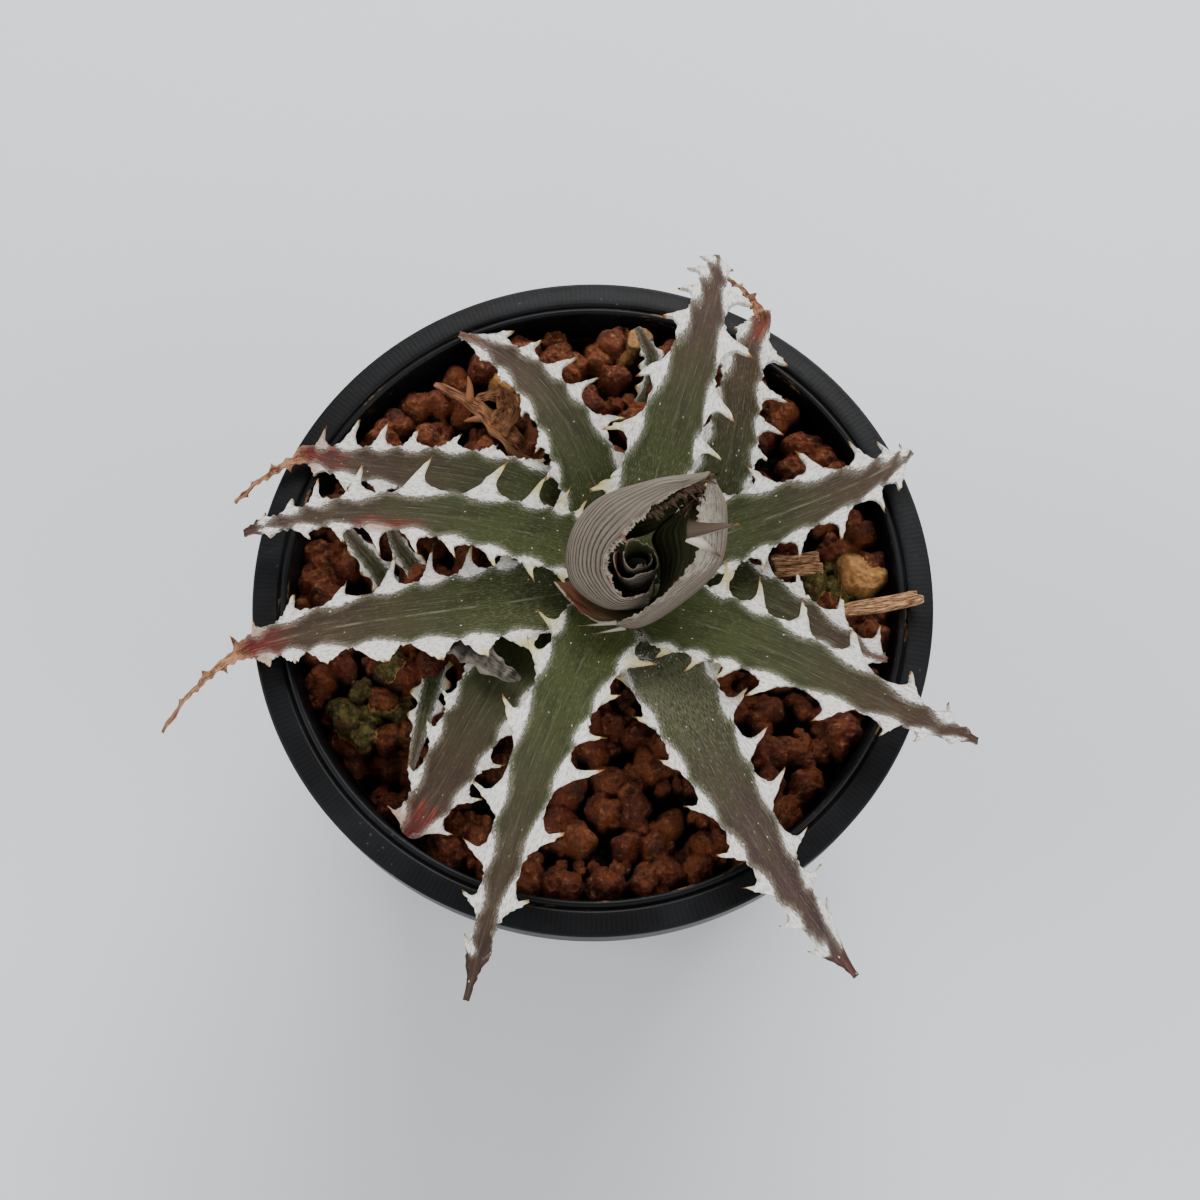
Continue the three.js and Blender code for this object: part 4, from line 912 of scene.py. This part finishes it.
coreFinish = {key: coreMaterial(key + "Skin", coreSkin, core[key]) for key in ("hood", "wrap", "bud")}
for key in ("hood", "wrap"):
    coreLeaf(core[key], "core_" + key, coreFinish[key])
budPiece(core["bud"], coreFinish["bud"])
print("core made")


# small leaves and dried scraps

strip = {"thickness": 0.8, "fold": 0.22}
strips = [
    {"name": "pup_leaf_outer", "dry": False, "width": 3.4, "lumps": 0.9, "steps": 11,
     "line": [[-30.5, 2, 81.5], [-33, 5, 85], [-37, 9.5, 88], [-39.5, 12.5, 89]]},
    {"name": "pup_leaf_inner", "dry": False, "width": 3, "lumps": 0.8, "steps": 9,
     "line": [[-24.5, 1.5, 81.5], [-27, 4.8, 85], [-30.5, 9.4, 88.4], [-31.6, 12, 89.4]]},
    {"name": "leaf_back_small", "dry": False, "width": 2.6, "lumps": 1.1, "steps": 11,
     "line": [[5.5, 31, 82.5], [9, 35, 86], [9.4, 40, 88.2], [8.2, 42.4, 89.6], [7, 44.4, 90.8]]},
    {"name": "leaf_left_narrow", "dry": False, "width": 3, "lumps": 1.5, "steps": 11,
     "line": [[-24, -6.5, 82], [-25, -14, 86], [-26.4, -21, 87.4], [-27.6, -26.6, 87]]},
    {"name": "dried_tip", "dry": True, "width": 4, "lumps": 0.7, "steps": 7,
     "line": [[-22, -6.6, 90.6], [-18, -9, 91.8], [-14.6, -11.8, 92.2], [-11, -13.8, 91.9]]},
    {"name": "dried_leaf", "dry": True, "width": 3.2, "lumps": 0.5, "steps": 10,
     "line": [[-8.5, 23.8, 85.4], [-11.5, 25.6, 87], [-15, 28.6, 88.3], [-18.5, 32, 88.6], [-25, 36, 87.4]],
     "flap": {"width": 3.4, "lumps": 0.3, "steps": 6,
              "line": [[-15.3, 28, 87.9], [-13.3, 31.1, 89.2], [-14.6, 33.4, 89.6], [-18.4, 33, 88.7]]},
     "spines": [[[-19.6, 32.6, 88.6], [-19.8, 36.8, 89.2]], [[-17, 30, 88.4], [-20.4, 29.6, 88]]]},
]


def stripBlade(part, dry, rows=90, columns=17):
    # half width = width / 2 (1 - t)^0.6 + 0.4, with teeth by turns on either side, folded along the middle
    t = np.linspace(0, 1, rows)[:, None]
    line = splineAt(part["line"], t[:, 0])
    left, up = sideAndUp(unit(np.gradient(line, axis=0)))
    half = part["width"] / 2 * (1 - t) ** 0.6 + 0.4
    lump = part["lumps"] * np.sqrt(np.sin(math.pi * np.minimum(t * 1.4, 1)))
    c = np.linspace(-1, 1, columns)[None]
    turn = np.cos(math.pi * part["steps"] * t)
    tooth = np.where(c > 0, (0.5 - 0.5 * turn) ** 1.6, (0.5 + 0.5 * turn) ** 1.6)
    d = c * (half + lump * tooth)
    h = strip["fold"] * half * np.abs(c) ** 1.3
    if dry:
        h = h + 0.3 * waves(strewn(t * 20 + 0 * c, d), 3.2, seed=7)
    thick = strip["thickness"] / 2 * (0.2 + 0.8 * np.sqrt(1 - 0.98 * np.abs(c) ** 4))
    place = lambda lift: line[:, None] + left[:, None] * d[..., None] + up[:, None] * (h + lift)[..., None]
    points, faces = shell(place(thick), place(-thick))
    skin = twice(t * 20 + 0 * d, d, np.abs(d) - half * 0.6)
    return points, faces, skin, twice(t + 0 * d, smooth(0.4, 1, np.abs(c)) * tooth, 0 * d)


def stripPiece(part, material):
    points, faces, skin, spot = stripBlade(part, part["dry"])
    if "flap" in part:
        more, moreFaces, moreSkin, moreSpot = stripBlade(part["flap"], True, 50)
        points, faces = joined(points, faces, more, moreFaces)
        skin, spot = np.concatenate([skin, moreSkin]), np.concatenate([spot, moreSpot])
    for start, end in part.get("spines", []):
        line, s = bentLine(start, end, 9, np.array([0.3, 0, 0.4]))
        points, faces = joined(points, faces, *roundRod(line, 0.75 * (1 - s) ** 0.7 + 0.08, 10))
    rods = len(points) - len(skin)
    same = lambda values, count: np.tile(values, (count, 1))
    layers = {
        "skin": np.concatenate([skin, same([10.0, 0.0, -1.0], rods)]),
        "spot": np.concatenate([spot, same([0.5, 0.0, 0.0], rods)]),
        "tint": same([0.1, 0.2, 0.5], len(points)), "extra": same([0.1, 0.0, 0.0], len(points)),
    }
    return addPiece(part["name"] + "_fine", points, faces, [part["name"]], material, layers)


driedSkin = {
    "twig": {"dark": "24120c", "middle": "8a5a3c", "pale": "dcb488", "patch": "c09a72"},
    "dried_leaf": {"dark": "24110a", "middle": "6a3f29", "pale": "a47450", "patch": "86603f"},
    "dried_tip": {"dark": "26231f", "middle": "4c4740", "pale": "6e675d", "patch": "8e867a"},
}


def driedMaterial(name, look):
    r = Recipe(name, look)
    along, side, past = r.parts(r.attribute("skin"))
    fibres = r.noise(r.scaled(along, side, 0.35, 4.0), 1.2, 5.0, 0.7)
    patches = r.noise(r.vector(along, side), 0.35, 3.0)
    base = r.ramp(fibres, [(0.38, "dark"), (0.48, "middle"), (0.6, "pale")])
    base = r.cover(base, "patch", patches, 0.5, 0.62, 0.5)
    base = r.cover(base, "patch", past, 0.1, 0.5, 0.8)
    return r.finish(base, 0.85, 0.2, r.relief((fibres, 0.9, 0.0007)))


driedFinish = {name: driedMaterial(name + "Skin", look) for name, look in driedSkin.items()}
for part in strips:
    stripPiece(part, driedFinish.get(part["name"], leafFinish))


# twigs

twigs = [
    {"name": "twig_inner", "straws": [
        [[27.7, 6.7, 87.1], [35.2, 7.3, 87.7], 0.85], [[28.1, 5.2, 87], [35.8, 5.6, 87.1], 0.95],
        [[27.9, 6, 86.5], [34.2, 6.5, 86.5], 0.7]]},
    {"name": "twig_outer", "straws": [
        [[37.2, -2.2, 87.5], [50.6, -1, 92.6], 0.8], [[37.6, -1.3, 87.9], [49.6, -0.1, 92.6], 0.62]]},
]


def twigPiece(part, material, rows=60, sides=40):
    # every straw: r = radius (0.93 + cosines of the angle), drifting along it, thinner at its ends, which
    # break strand by strand
    points, faces, skin = np.zeros((0, 3)), [], np.zeros((0, 3))
    s, a = np.meshgrid(np.linspace(0, 1, rows), np.arange(sides) / sides * circle, indexing="ij")
    drift = a + 0.5 * s
    for start, end, radius in part["straws"]:
        start, end = np.array(start, float), np.array(end, float)
        length = np.linalg.norm(end - start)
        along = (end - start) / length
        left, up = sideAndUp(along)
        r = radius * (0.93 + 0.12 * np.cos(5 * drift) + 0.08 * np.cos(9 * drift + 1.3)
                      + 0.06 * np.cos(2 * a + 7 * s))
        r = r * (0.35 + 0.65 * np.sqrt(np.clip(np.minimum(s, 1 - s) * 14, 0, 1)))
        ragged = 0.5 * waves(strewn(np.cos(a), np.sin(a)), 0.9, seed=int(10 * length))
        shift = s * length + ragged * (smooth(0.8, 1, s) - smooth(0.2, 0, s)) * 0.7
        over, high = r * np.cos(a) + 0.12 * np.sin(s * 7 + radius * 9), 0.9 * r * np.sin(a)
        shift, over, high = [values[..., None] for values in (np.clip(shift, 0, length), over, high)]
        points, faces = joined(points, faces, *tube(start + along * shift + left * over + up * high))
        around = np.stack([s * length, a * 0.8 + radius * 7, 0 * s], -1).reshape(-1, 3)
        skin = np.concatenate([skin, around, [[0, 0, 0], [length, 0, 0]]])
    return addPiece(part["name"] + "_fine", points, faces, [part["name"]], material, {"skin": skin})


for part in twigs:
    twigPiece(part, driedFinish["twig"])
print("small leaves, scraps and twigs made")


# soil

soil = {
    "level": 83, "slope": 0.045, "spacing": 6.2, "scatter": 0.36, "grainHeight": [2.2, 4.4],
    "dips": [
        {"x": 5, "y": 2.5, "depth": 5.5, "radius": 14}, {"x": -37, "y": -27.5, "depth": 9, "radius": 10},
    ],
    "crease": 3.0,      # how deep the gaps go under the level
    # bigger clods: x, y, lift of the middle over the creases, radius, kind
    "lumps": [
        [41.8, 4.7, 1.6, 3.9, 0.5], [-38.5, -16.6, 2.6, 2.8, 1], [-35.8, -19.3, 3.4, 2.6, 1],
        [-31.3, -9.4, 2, 2.6, 1], [-32.4, -14.6, 2.8, 2.2, 0.25], [-32, -20, 3.4, 2.2, 0.25],
        [-27.8, -19.6, 2.6, 2.3, 0.25], [7.4, 43.6, 3.6, 2, 0.5],
    ],
    "squash": 0.85,
    "crumbs": 650,      # small grains scattered between the big ones
    "grid": 306, "rough": 0.28,
    "play": 0.3,        # the room between the filling and the pot
    "wallTop": 12,      # how far under the rim the plain side wall starts
    # where grains of another kind lie: x, y, radius of the spot, kind
    "spots": [
        [36, 5, 2.4, 1.0], [-13.5, 34, 3, 0.5], [7, 44, 3, 0.5], [-34, -15, 5.5, 1.0], [38.5, 2, 1.6, 1.0],
    ],
}
pot = {
    "height": 90, "rimRadius": 52.5, "grooveRadius": 48.5, "mouthRadius": 47, "collarHeight": 8,
    "wallRadius": 48, "baseRadius": 36, "wall": 1.8, "floor": 3, "drains": 8, "drainRadius": 3.5,
    "drainRing": 22, "ribs": 420, "turns": 512,
}


def innerRadius(z):
    # the cone inside the pot, from its floor to its mouth
    low = pot["baseRadius"] - pot["wall"]
    share = (z - pot["floor"]) / (pot["height"] - 1.5 - pot["floor"])
    return low + (pot["mouthRadius"] - low) * share


def soilLevel(x, y):
    # a gentle slope with round dips depth exp(-(r / radius)^2)
    sunk = sum(dip["depth"] * np.exp(-((x - dip["x"])**2 + (y - dip["y"])**2) / dip["radius"]**2)
               for dip in soil["dips"])
    return soil["level"] + soil["slope"] * y - sunk


def grainCells():
    # the places and heights of the grains, in an uneven honeycomb, from a fixed sequence of numbers
    rows = math.ceil(pot["rimRadius"] / soil["spacing"]) + 3
    state, numbers, span = 11, [], 2**32
    for _ in range((2 * rows + 1) * (4 * rows + 1) * 9):
        state = (state * 1664525 + 1013904223) % span
        numbers.append(state / span)
    numbers = np.array(numbers).reshape(2 * rows + 1, 4 * rows + 1, 9)
    row, column = np.meshgrid(np.arange(-rows, rows + 1), np.arange(-2 * rows, 2 * rows + 1), indexing="ij")
    off = soil["scatter"] * (numbers[..., :2] - 0.5) * 2
    x = soil["spacing"] * (column + row / 2 + off[..., 0])
    y = soil["spacing"] * (row * math.sqrt(3) / 2 + off[..., 1])
    low, high = soil["grainHeight"]
    return x, y, low + (high - low) * numbers[..., 2]


def discGrid(n):
    # a square grid mapped onto the unit disc: r = the larger side, the angle from their ratio
    a, b = np.meshgrid(np.linspace(-1, 1, n), np.linspace(-1, 1, n), indexing="ij")
    wide = np.abs(a) > np.abs(b)
    r = np.where(wide, a, b)
    small = np.where(wide, b, a) / np.where(r == 0, 1, r)
    angle = np.where(wide, math.pi / 4 * small, math.pi / 2 - math.pi / 4 * small)
    return r * np.cos(angle), r * np.sin(angle)


def leafFloor(cell=0.5, reach=56):
    # the lowest height of any leaf over each cell of a square grid
    size = int(2 * reach / cell)
    low = np.full((size, size), 200.0)
    for leaf in leaves:
        t, c = np.meshgrid(np.linspace(0, 1, 200), np.linspace(-1.15, 1.15, 60), indexing="ij")
        half = bodyHalf(leaf, t)
        d = c * half
        h = -blade["channel"] * half - blade["edge"] - blade["keel"] * half
        under = bladePoint(leaf, t, d, h).reshape(-1, 3)
        i = ((under[:, :2] + reach) / cell).astype(int)
        keep = ((i >= 0) & (i < size)).all(1)
        np.minimum.at(low, (i[keep, 0], i[keep, 1]), under[keep, 2])
    return low, cell, reach


def allGrains(outer, source):
    # the honeycomb's grains, pulled in from the wall, then the clods, then the crumbs: height is how far the
    # top lies over the level, deep how far the foot lies under it
    cellX, cellY, cellH = grainCells()
    inside = np.hypot(cellX, cellY)
    pull = np.where(inside > outer - 2.6, (outer - 2.6) / np.maximum(inside, 1), 1)
    keep = inside < outer + 2.2
    lumps, crumbs, big = np.array(soil["lumps"]), soil["crumbs"], keep.sum()
    crumbR, crumbA = (outer - 1) * np.sqrt(source.random(crumbs)), source.random(crumbs) * circle
    small = 1.0 + 1.2 * source.random(crumbs) ** 2
    lowest, more = 0.6, 1.5     # of a crumb's height
    x = np.concatenate([(cellX * pull)[keep], lumps[:, 0], crumbR * np.cos(crumbA)])
    y = np.concatenate([(cellY * pull)[keep], lumps[:, 1], crumbR * np.sin(crumbA)])
    radius = np.concatenate([soil["spacing"] * (0.43 + 0.13 * source.random(big)), lumps[:, 3], small])
    height = np.concatenate([
        cellH[keep], lumps[:, 2] + soil["squash"] * lumps[:, 3], lowest + more * source.random(crumbs),
    ])
    deep = np.concatenate([np.full(big, soil["crease"]), -lumps[:, 2], small - lowest - more * 0.5])
    phase = source.random((len(x), 5)) * circle
    tilt = source.normal(size=(len(x), 2)) * 0.16
    tone = source.random(len(x))
    kind = grainKind(x, y, source)
    kind[big:big + len(lumps)] = lumps[:, 4]
    return {"x": x, "y": y, "radius": radius, "height": height, "deep": deep, "phase": phase, "tilt": tilt,
            "level": soilLevel(x, y), "tone": tone, "kind": kind}


def piled(grains, x, y):
    # over every point the highest of the grains' domes h (1 - q^2.6)^0.5, with q the distance over the
    # grain's own radius; the number of that grain; and 1 on its top to 0 at its foot
    nothing = -50.0
    top, owner, crown = np.full(x.shape, nothing), np.zeros(x.shape, int), np.zeros(x.shape)
    for k in range(len(grains["x"])):      # one grain at a time, over the points near it
        g = {key: values[k] for key, values in grains.items()}
        radius, phase = g["radius"], g["phase"]
        near = np.hypot(x - g["x"], y - g["y"]) < radius * 1.4
        dx, dy = x[near] - g["x"], y[near] - g["y"]
        a = np.arctan2(dy, dx)
        wide = radius * (1 + 0.12 * np.cos(2 * a + phase[0]) + 0.08 * np.cos(3 * a + phase[1])
                         + 0.06 * np.cos(5 * a + phase[2]))
        q = np.hypot(dx, dy) / wide
        dome = np.maximum(1 - q**2.6, 0) ** 0.5
        knobs = 0.14 * radius * np.sin(dx * 3.4 / radius + phase[3]) * np.sin(dy * 3.4 / radius + phase[4])
        z = g["level"] - g["deep"] + (g["height"] + g["deep"]) * dome
        z = np.where(q < 1, z + g["tilt"][0] * dx + g["tilt"][1] * dy + knobs, nothing)
        better = z > top[near]
        for values, new in ((top, z), (owner, k), (crown, dome)):
            values[near] = np.where(better, new, values[near])
    return top, owner, crown


def soilPiece(material):
    outer = innerRadius(pot["height"] - 4) - 0.35
    x, y = [side * outer for side in discGrid(soil["grid"])]
    grains = allGrains(outer, np.random.default_rng(5))
    top, owner, crown = piled(grains, x, y)
    bed = soilLevel(x, y) - soil["crease"] + 0.3 * waves(strewn(x, y), 2.2, seed=3)
    crown = np.where(top < bed, 0.0, crown)
    top = np.maximum(top, bed)
    spots = np.stack([x, y, top], -1)
    rough = waves(spots, 2.4, 24, 7) * 0.4 + waves(spots, 1.3, 24, 8) * 0.5 + waves(spots, 0.8, 24, 9) * 0.4
    # nothing stands higher than half a millimetre under a leaf, or than the solid
    low, cell, reach = leafFloor()
    limit = low[((x + reach) / cell).astype(int), ((y + reach) / cell).astype(int)] - 0.5
    top = np.minimum(np.minimum(top + soil["rough"] * rough, limit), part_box("soil")[1][2] / mm)
    # the surface, a skirt down to three rings of side wall, and a fan over the bottom
    n = soil["grid"]
    rim = gridRim(n, n)
    bottom = pot["floor"] + soil["play"]
    heights = np.linspace(pot["height"] - soil["wallTop"], bottom, 3)
    walls = turned(innerRadius(heights) - soil["play"], heights, np.arctan2(y.ravel()[rim], x.ravel()[rim]))
    surface = np.stack([x, y, top], -1)
    points = np.concatenate([surface.reshape(-1, 3), walls.reshape(-1, 3), [[0, 0, bottom]]])
    start, many = n * n, len(rim)
    k = np.arange(many)
    after = (k + 1) % many
    foot = start + (len(heights) - 1) * many
    skirt = np.stack([rim, rim[after], start + after, start + k], -1)
    fan = np.stack([np.full(many, len(points) - 1), foot + k, foot + after], -1)
    wall = gridFaces(len(heights), many, start, wrap=True)
    faces = outward(points, [gridFaces(n, n)[:, ::-1], skirt, wall[:, ::-1], fan])
    shade = np.stack([grains["tone"][owner], crown, grains["kind"][owner]], -1).reshape(-1, 3)
    shade = np.concatenate([shade, np.tile([0.5, 0.0, 0.0], (len(points) - n * n, 1))])
    return addPiece("soil_fine", points, faces, ["soil"], material, {"grain": shade})


def grainKind(gx, gy, source):
    # 0 rusty, 0.25 orange, 0.5 tan, 1 mossy green: the tan and green grains lie in a few places
    kind = np.zeros(len(gx))
    for px, py, size, value in soil["spots"]:
        kind = np.where(np.hypot(gx - px, gy - py) < size, value, kind)
    few = source.random(len(gx))
    return np.where((kind == 0) & (few > 0.998), 0.5, kind)


# gap is painted shade for the creases between the grains
soilSkin = {
    "rust": "602810", "bright": "7a3f1d", "dark": "240f08", "fleck": "b07a50", "tan": "c48e54",
    "tanDark": "a27242", "green": "7a7038", "greenDark": "3a3416", "orange": "83481f",
    "orangeDark": "4e240f", "gap": "1e1008",
}


def soilMaterial(look):
    r = Recipe("clayGrains", look)
    tone, crown, kind = r.parts(r.attribute("grain"))
    place = r.place()
    rough = r.noise(place, 900.0, 6.0, 0.75)
    patch = r.noise(place, 300.0, 4.0, 0.65)
    rust = r.mix(r.step(tone, 0.1, 0.95), "rust", "bright")
    rust = r.cover(rust, "dark", patch, 0.48, 0.66, 0.75)
    rust = r.cover(rust, "fleck", rough, 0.53, 0.66, 0.55)
    orange = r.mix(r.step(rough, 0.42, 0.6), "orangeDark", "orange")
    tan = r.mix(r.step(rough, 0.4, 0.6), "tanDark", "tan")
    tan = r.cover(tan, "green", r.plus(crown, patch), 1.15, 0.85, 0.7)
    moss = r.mix(r.step(rough, 0.4, 0.62), "greenDark", "green")
    moss = r.cover(moss, "orangeDark", patch, 0.52, 0.68, 0.7)
    # the kinds of grainKind in order, then painted shade: each grain darkens towards its foot, so the gaps
    # between the grains look shaded
    base = r.cover(rust, orange, kind, 0.1, 0.2)
    base = r.cover(base, tan, kind, 0.3, 0.45)
    base = r.cover(base, moss, kind, 0.7, 0.95)
    base = r.cover(base, "gap", crown, 0.66, 0.12)
    pits = r.cells(place, 1300.0)["Distance"]
    bump = r.relief((patch, 0.8, 0.0014), (rough, 1.0, 0.0011), (pits, 0.6, 0.0005))
    return r.finish(base, r.step(patch, 0.35, 0.6, (0.36, 0.8)), 0.3, bump)


soilPiece(soilMaterial(soilSkin))
print("soil made")


# pot

def potPiece(material):
    # the profile (radius, height) turned about the axis; the drain holes are cut from it afterwards
    top, rim, groove, mouth = pot["height"], pot["rimRadius"], pot["grooveRadius"], pot["mouthRadius"]
    collar, wall, base, floor = top - pot["collarHeight"], pot["wallRadius"], pot["baseRadius"], pot["floor"]
    lip, edge = np.linspace(0, math.pi, 13), np.linspace(0, math.pi / 2, 6)
    lipAt, lipHalf, low = (groove - 0.25 + mouth) / 2, (groove - 0.25 - mouth) / 2, innerRadius(floor)
    profile = np.array([
        # underside and outer wall
        [0, 0], [6, 0], [12, 0], [18, 0], [26, 0], [base - 0.8, 0], [base - 0.25, 0.2], [base, 0.8],
        *[[base + (wall - base) * s, 0.8 + (collar - 1.8) * s] for s in np.linspace(0.04, 0.99, 24)],
        # collar, rounded over to the flat rim
        [wall + 0.1, collar - 0.9], [wall + 0.7, collar - 0.5], [rim - 0.9, collar - 0.15],
        [rim - 0.55, collar + 0.1],
        *[[rim - 0.5 + 0.5 * s, collar + 0.4 + (top - 1.4 - collar) * s] for s in np.linspace(0, 1, 8)],
        *[[rim - 0.45 + 0.45 * math.cos(s), top - 0.95 + 0.45 * math.sin(s)] for s in edge],
        [rim - 0.7, top - 0.5], [rim - 1.5, top - 0.42], [rim - 2.6, top - 0.33], [groove + 0.5, top - 0.24],
        # groove and round lip
        [groove + 0.16, top - 0.28], [groove, top - 0.75], [groove - 0.12, top - 0.8],
        *[[lipAt + lipHalf * math.cos(s), top - 0.75 + 0.75 * math.sin(s)] for s in lip],
        # inner wall and floor
        *[[innerRadius(z), z] for z in np.linspace(top - 1.5, floor + 1, 20)],
        [low - 0.8, floor + 0.15], [low - 1.6, floor], [20, floor], [10, floor], [0, floor],
    ])
    turn = np.arange(pot["turns"]) / pot["turns"] * circle
    points, faces = tube(turned(profile[1:-1, 0], profile[1:-1, 1], turn))
    points[-2], points[-1] = [0, 0, 0], [0, 0, floor]
    piece = addPiece("pot_fine", points, faces, ["pot"], material, {})
    around = np.arange(32) / 32 * circle
    holes, holeFaces = np.zeros((0, 3)), []
    for t in (np.arange(pot["drains"]) + 0.5) / pot["drains"] * circle:
        hole = turned([pot["drainRadius"]] * 2, [-1, floor + 1], around)
        hole = hole + pot["drainRing"] * np.array([math.cos(t), math.sin(t), 0])
        holes, holeFaces = joined(holes, holeFaces, *tube(hole))
    drill = bpy.data.meshes.new("drill")
    drill.from_pydata((holes * mm).tolist(), [], [face for part in holeFaces for face in part.tolist()])
    cutter = bpy.data.objects.new("drill", drill)
    bpy.context.scene.collection.objects.link(cutter)
    cut = piece.modifiers.new("drains", "BOOLEAN")
    cut.object, cut.operation, cut.solver = cutter, "DIFFERENCE", "EXACT"
    cutMesh = bpy.data.meshes.new_from_object(piece.evaluated_get(bpy.context.evaluated_depsgraph_get()))
    piece.modifiers.clear()
    piece.data = cutMesh
    bpy.data.objects.remove(cutter)
    return piece


potSkin = {"black": "09090a", "worn": "121315", "rib": "242628", "dust": "5b554c", "scuff": "755a3c"}


def potMaterial(look):
    r = Recipe("blackPlastic", look)
    place = r.place()
    x, y, z = r.parts(place)
    angle = r.calc("ARCTAN2", y, x)
    away = r.calc("SQRT", r.plus(r.times(x, x), r.times(y, y)))
    rise = lambda value, low, high: r.step(value, low * mm, high * mm)
    groove, mouth, rim, top = pot["grooveRadius"], pot["mouthRadius"], pot["rimRadius"], pot["height"]
    # the rim's flat band with its fine ribs, their crests drawn lighter as a painted highlight
    onBand = r.times(rise(away, groove + 0.3, groove + 0.7), rise(away, rim - 0.4, rim - 0.7))
    onBand = r.times(onBand, rise(z, top - 1.2, top - 1))
    ribs = r.calc("SINE", r.times(angle, float(pot["ribs"])))
    around = r.vector(r.times(angle, 4.0), r.times(away, 900.0), r.times(z, 300.0))
    worn = r.noise(around, 1.0, 4.0, 0.65)
    fine = r.noise(place, 1500.0, 4.0, 0.6)
    large = r.noise(place, 60.0, 4.0, 0.6)
    base = r.mix(r.step(large, 0.4, 0.7), "black", "worn")
    # painted highlight: the rib colour lightens the crests of the ribs where light would catch them
    base = r.mix(r.times(onBand, r.step(ribs, 0.2, 1.0, (0.0, 0.14))), base, "rib")
    specks = r.cells(place, 700.0)["Distance"]
    dust = r.times(r.step(specks, 0.15, 0.08), r.step(large, 0.5, 0.66))
    base = r.mix(r.times(dust, 0.5), base, "dust")
    # scuffs on the lip
    lip = r.times(rise(away, mouth - 0.6, mouth - 0.2), rise(away, groove + 0.3, groove - 0.1))
    lip = r.times(lip, rise(z, top - 3, top - 1.6))
    scuff = r.times(lip, r.times(r.step(worn, 0.6, 0.68), r.step(fine, 0.4, 0.55)))
    base = r.mix(r.times(scuff, 0.85), base, "scuff")
    bump = r.relief((r.times(ribs, onBand), 0.07, 0.00004), (fine, 0.15, 0.0001), (specks, 0.1, 0.0001))
    return r.finish(base, r.plus(r.times(large, 0.2), 0.32), 0.13, bump)


potPiece(potMaterial(potSkin))
print("pot made")


# stem: its solid stays, with a skin of its own

# top is painted shade for the stem's top, seen down the bud's shaded throat
stemSkin = {"dark": "434628", "middle": "6c6a48", "pale": "968f77", "top": "14120a"}


def stemMaterial(look):
    r = Recipe("stemSkin", look)
    place = r.place()
    fibres = r.noise(r.stretch(place, (1.0, 1.0, 0.15)), 900.0, 4.0, 0.6)
    base = r.ramp(fibres, [(0.3, "dark"), (0.55, "middle"), (0.75, "pale")])
    # painted shade: the stem darkens to near black towards its top, inside the bud
    base = r.cover(base, "top", r.parts(place)[2], stem["shadeFrom"] * mm, stem["shadeTo"] * mm)
    return r.finish(base, 0.9, 0.1, r.relief((fibres, 0.5, 0.0004)))


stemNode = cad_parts["stem"]
stemNode.data.materials.clear()
stemNode.data.materials.append(stemMaterial(stemSkin))


# floor, light and camera

stage = {"size": 6.0, "look": {"floor": "cdcfd3", "cloud": "cacccf"}}


def floorPiece():
    half = stage["size"] / 2
    corners = [(-half, -half, 0), (half, -half, 0), (half, half, 0), (-half, half, 0)]
    mesh = bpy.data.meshes.new("floor")
    mesh.from_pydata(corners, [], [(0, 1, 2, 3)])
    floor = bpy.data.objects.new("floor", mesh)
    bpy.context.scene.collection.objects.link(floor)
    r = Recipe("paleTable", stage["look"])
    mesh.materials.append(r.finish(r.mix(r.noise(r.place(), 4.0, 2.0), "floor", "cloud"), 0.45, 0.3))


# soft boxes in metres and watts, all turned to the plant
plantAt = (0, 0, 0.09)
lights = [
    {"name": "softboxBack", "place": (0.3, 1.2, 1.15), "size": (1.3, 0.8), "power": 40.0},
    {"name": "softboxLeft", "place": (-1.2, -0.1, 1.0), "size": (0.9, 1.2), "power": 13.5},
    {"name": "softboxRight", "place": (1.15, -0.5, 1.0), "size": (0.9, 1.2), "power": 12.5},
    {"name": "softboxFront", "place": (0.1, -1.3, 1.2), "size": (1.4, 0.9), "power": 5.5},
]


def addLight(box):
    lamp = bpy.data.lights.new(box["name"], "AREA")
    lamp.shape = "RECTANGLE"
    lamp.size, lamp.size_y = box["size"]
    lamp.energy = box["power"]
    light = bpy.data.objects.new(box["name"], lamp)
    light.location = box["place"]
    light.rotation_euler = (Vector(plantAt) - Vector(box["place"])).to_track_quat("-Z", "Y").to_euler()
    bpy.context.scene.collection.objects.link(light)


floorPiece()
for box in lights:
    addLight(box)
print("floor and lights made")


sky = {"colour": (0.95, 0.97, 1.0, 1), "low": 1.3, "high": 0.28}


def softSky():
    # pale all round, darker overhead: brightness falls with the direction's height
    world = bpy.data.worlds.new("softSky")
    world.use_nodes = True
    tree = world.node_tree
    direction = addNode(tree, "TexCoord").outputs["Generated"]
    height = addNode(tree, "SeparateXYZ", {0: direction}).outputs[2]
    inputs = {"Value": height, "From Min": 0.0, "From Max": 1.0, "To Min": sky["low"], "To Max": sky["high"]}
    strength = addNode(tree, "MapRange", inputs).outputs[0]
    background = tree.nodes["Background"]
    background.inputs[0].default_value = sky["colour"]
    tree.links.new(strength, background.inputs[1])
    return world


bpy.context.scene.world = softSky()

view = {"aim": (1.12, -0.40, 90), "elevation": 73.3, "distance": 420, "lens": 81.9, "sensor": 36}
lift = view["elevation"] * degree
camera = bpy.data.objects.new("camera", bpy.data.cameras.new("camera"))
camera.data.lens = view["lens"]
camera.data.sensor_width = view["sensor"]
camera.data.clip_start = 0.01
camera.location = (
    view["aim"][0] * mm,
    (view["aim"][1] - view["distance"] * math.cos(lift)) * mm,
    (view["aim"][2] + view["distance"] * math.sin(lift)) * mm,
)
camera.rotation_euler = (math.pi / 2 - lift, 0, 0)
bpy.context.scene.collection.objects.link(camera)
bpy.context.scene.camera = camera

print("scene finished")
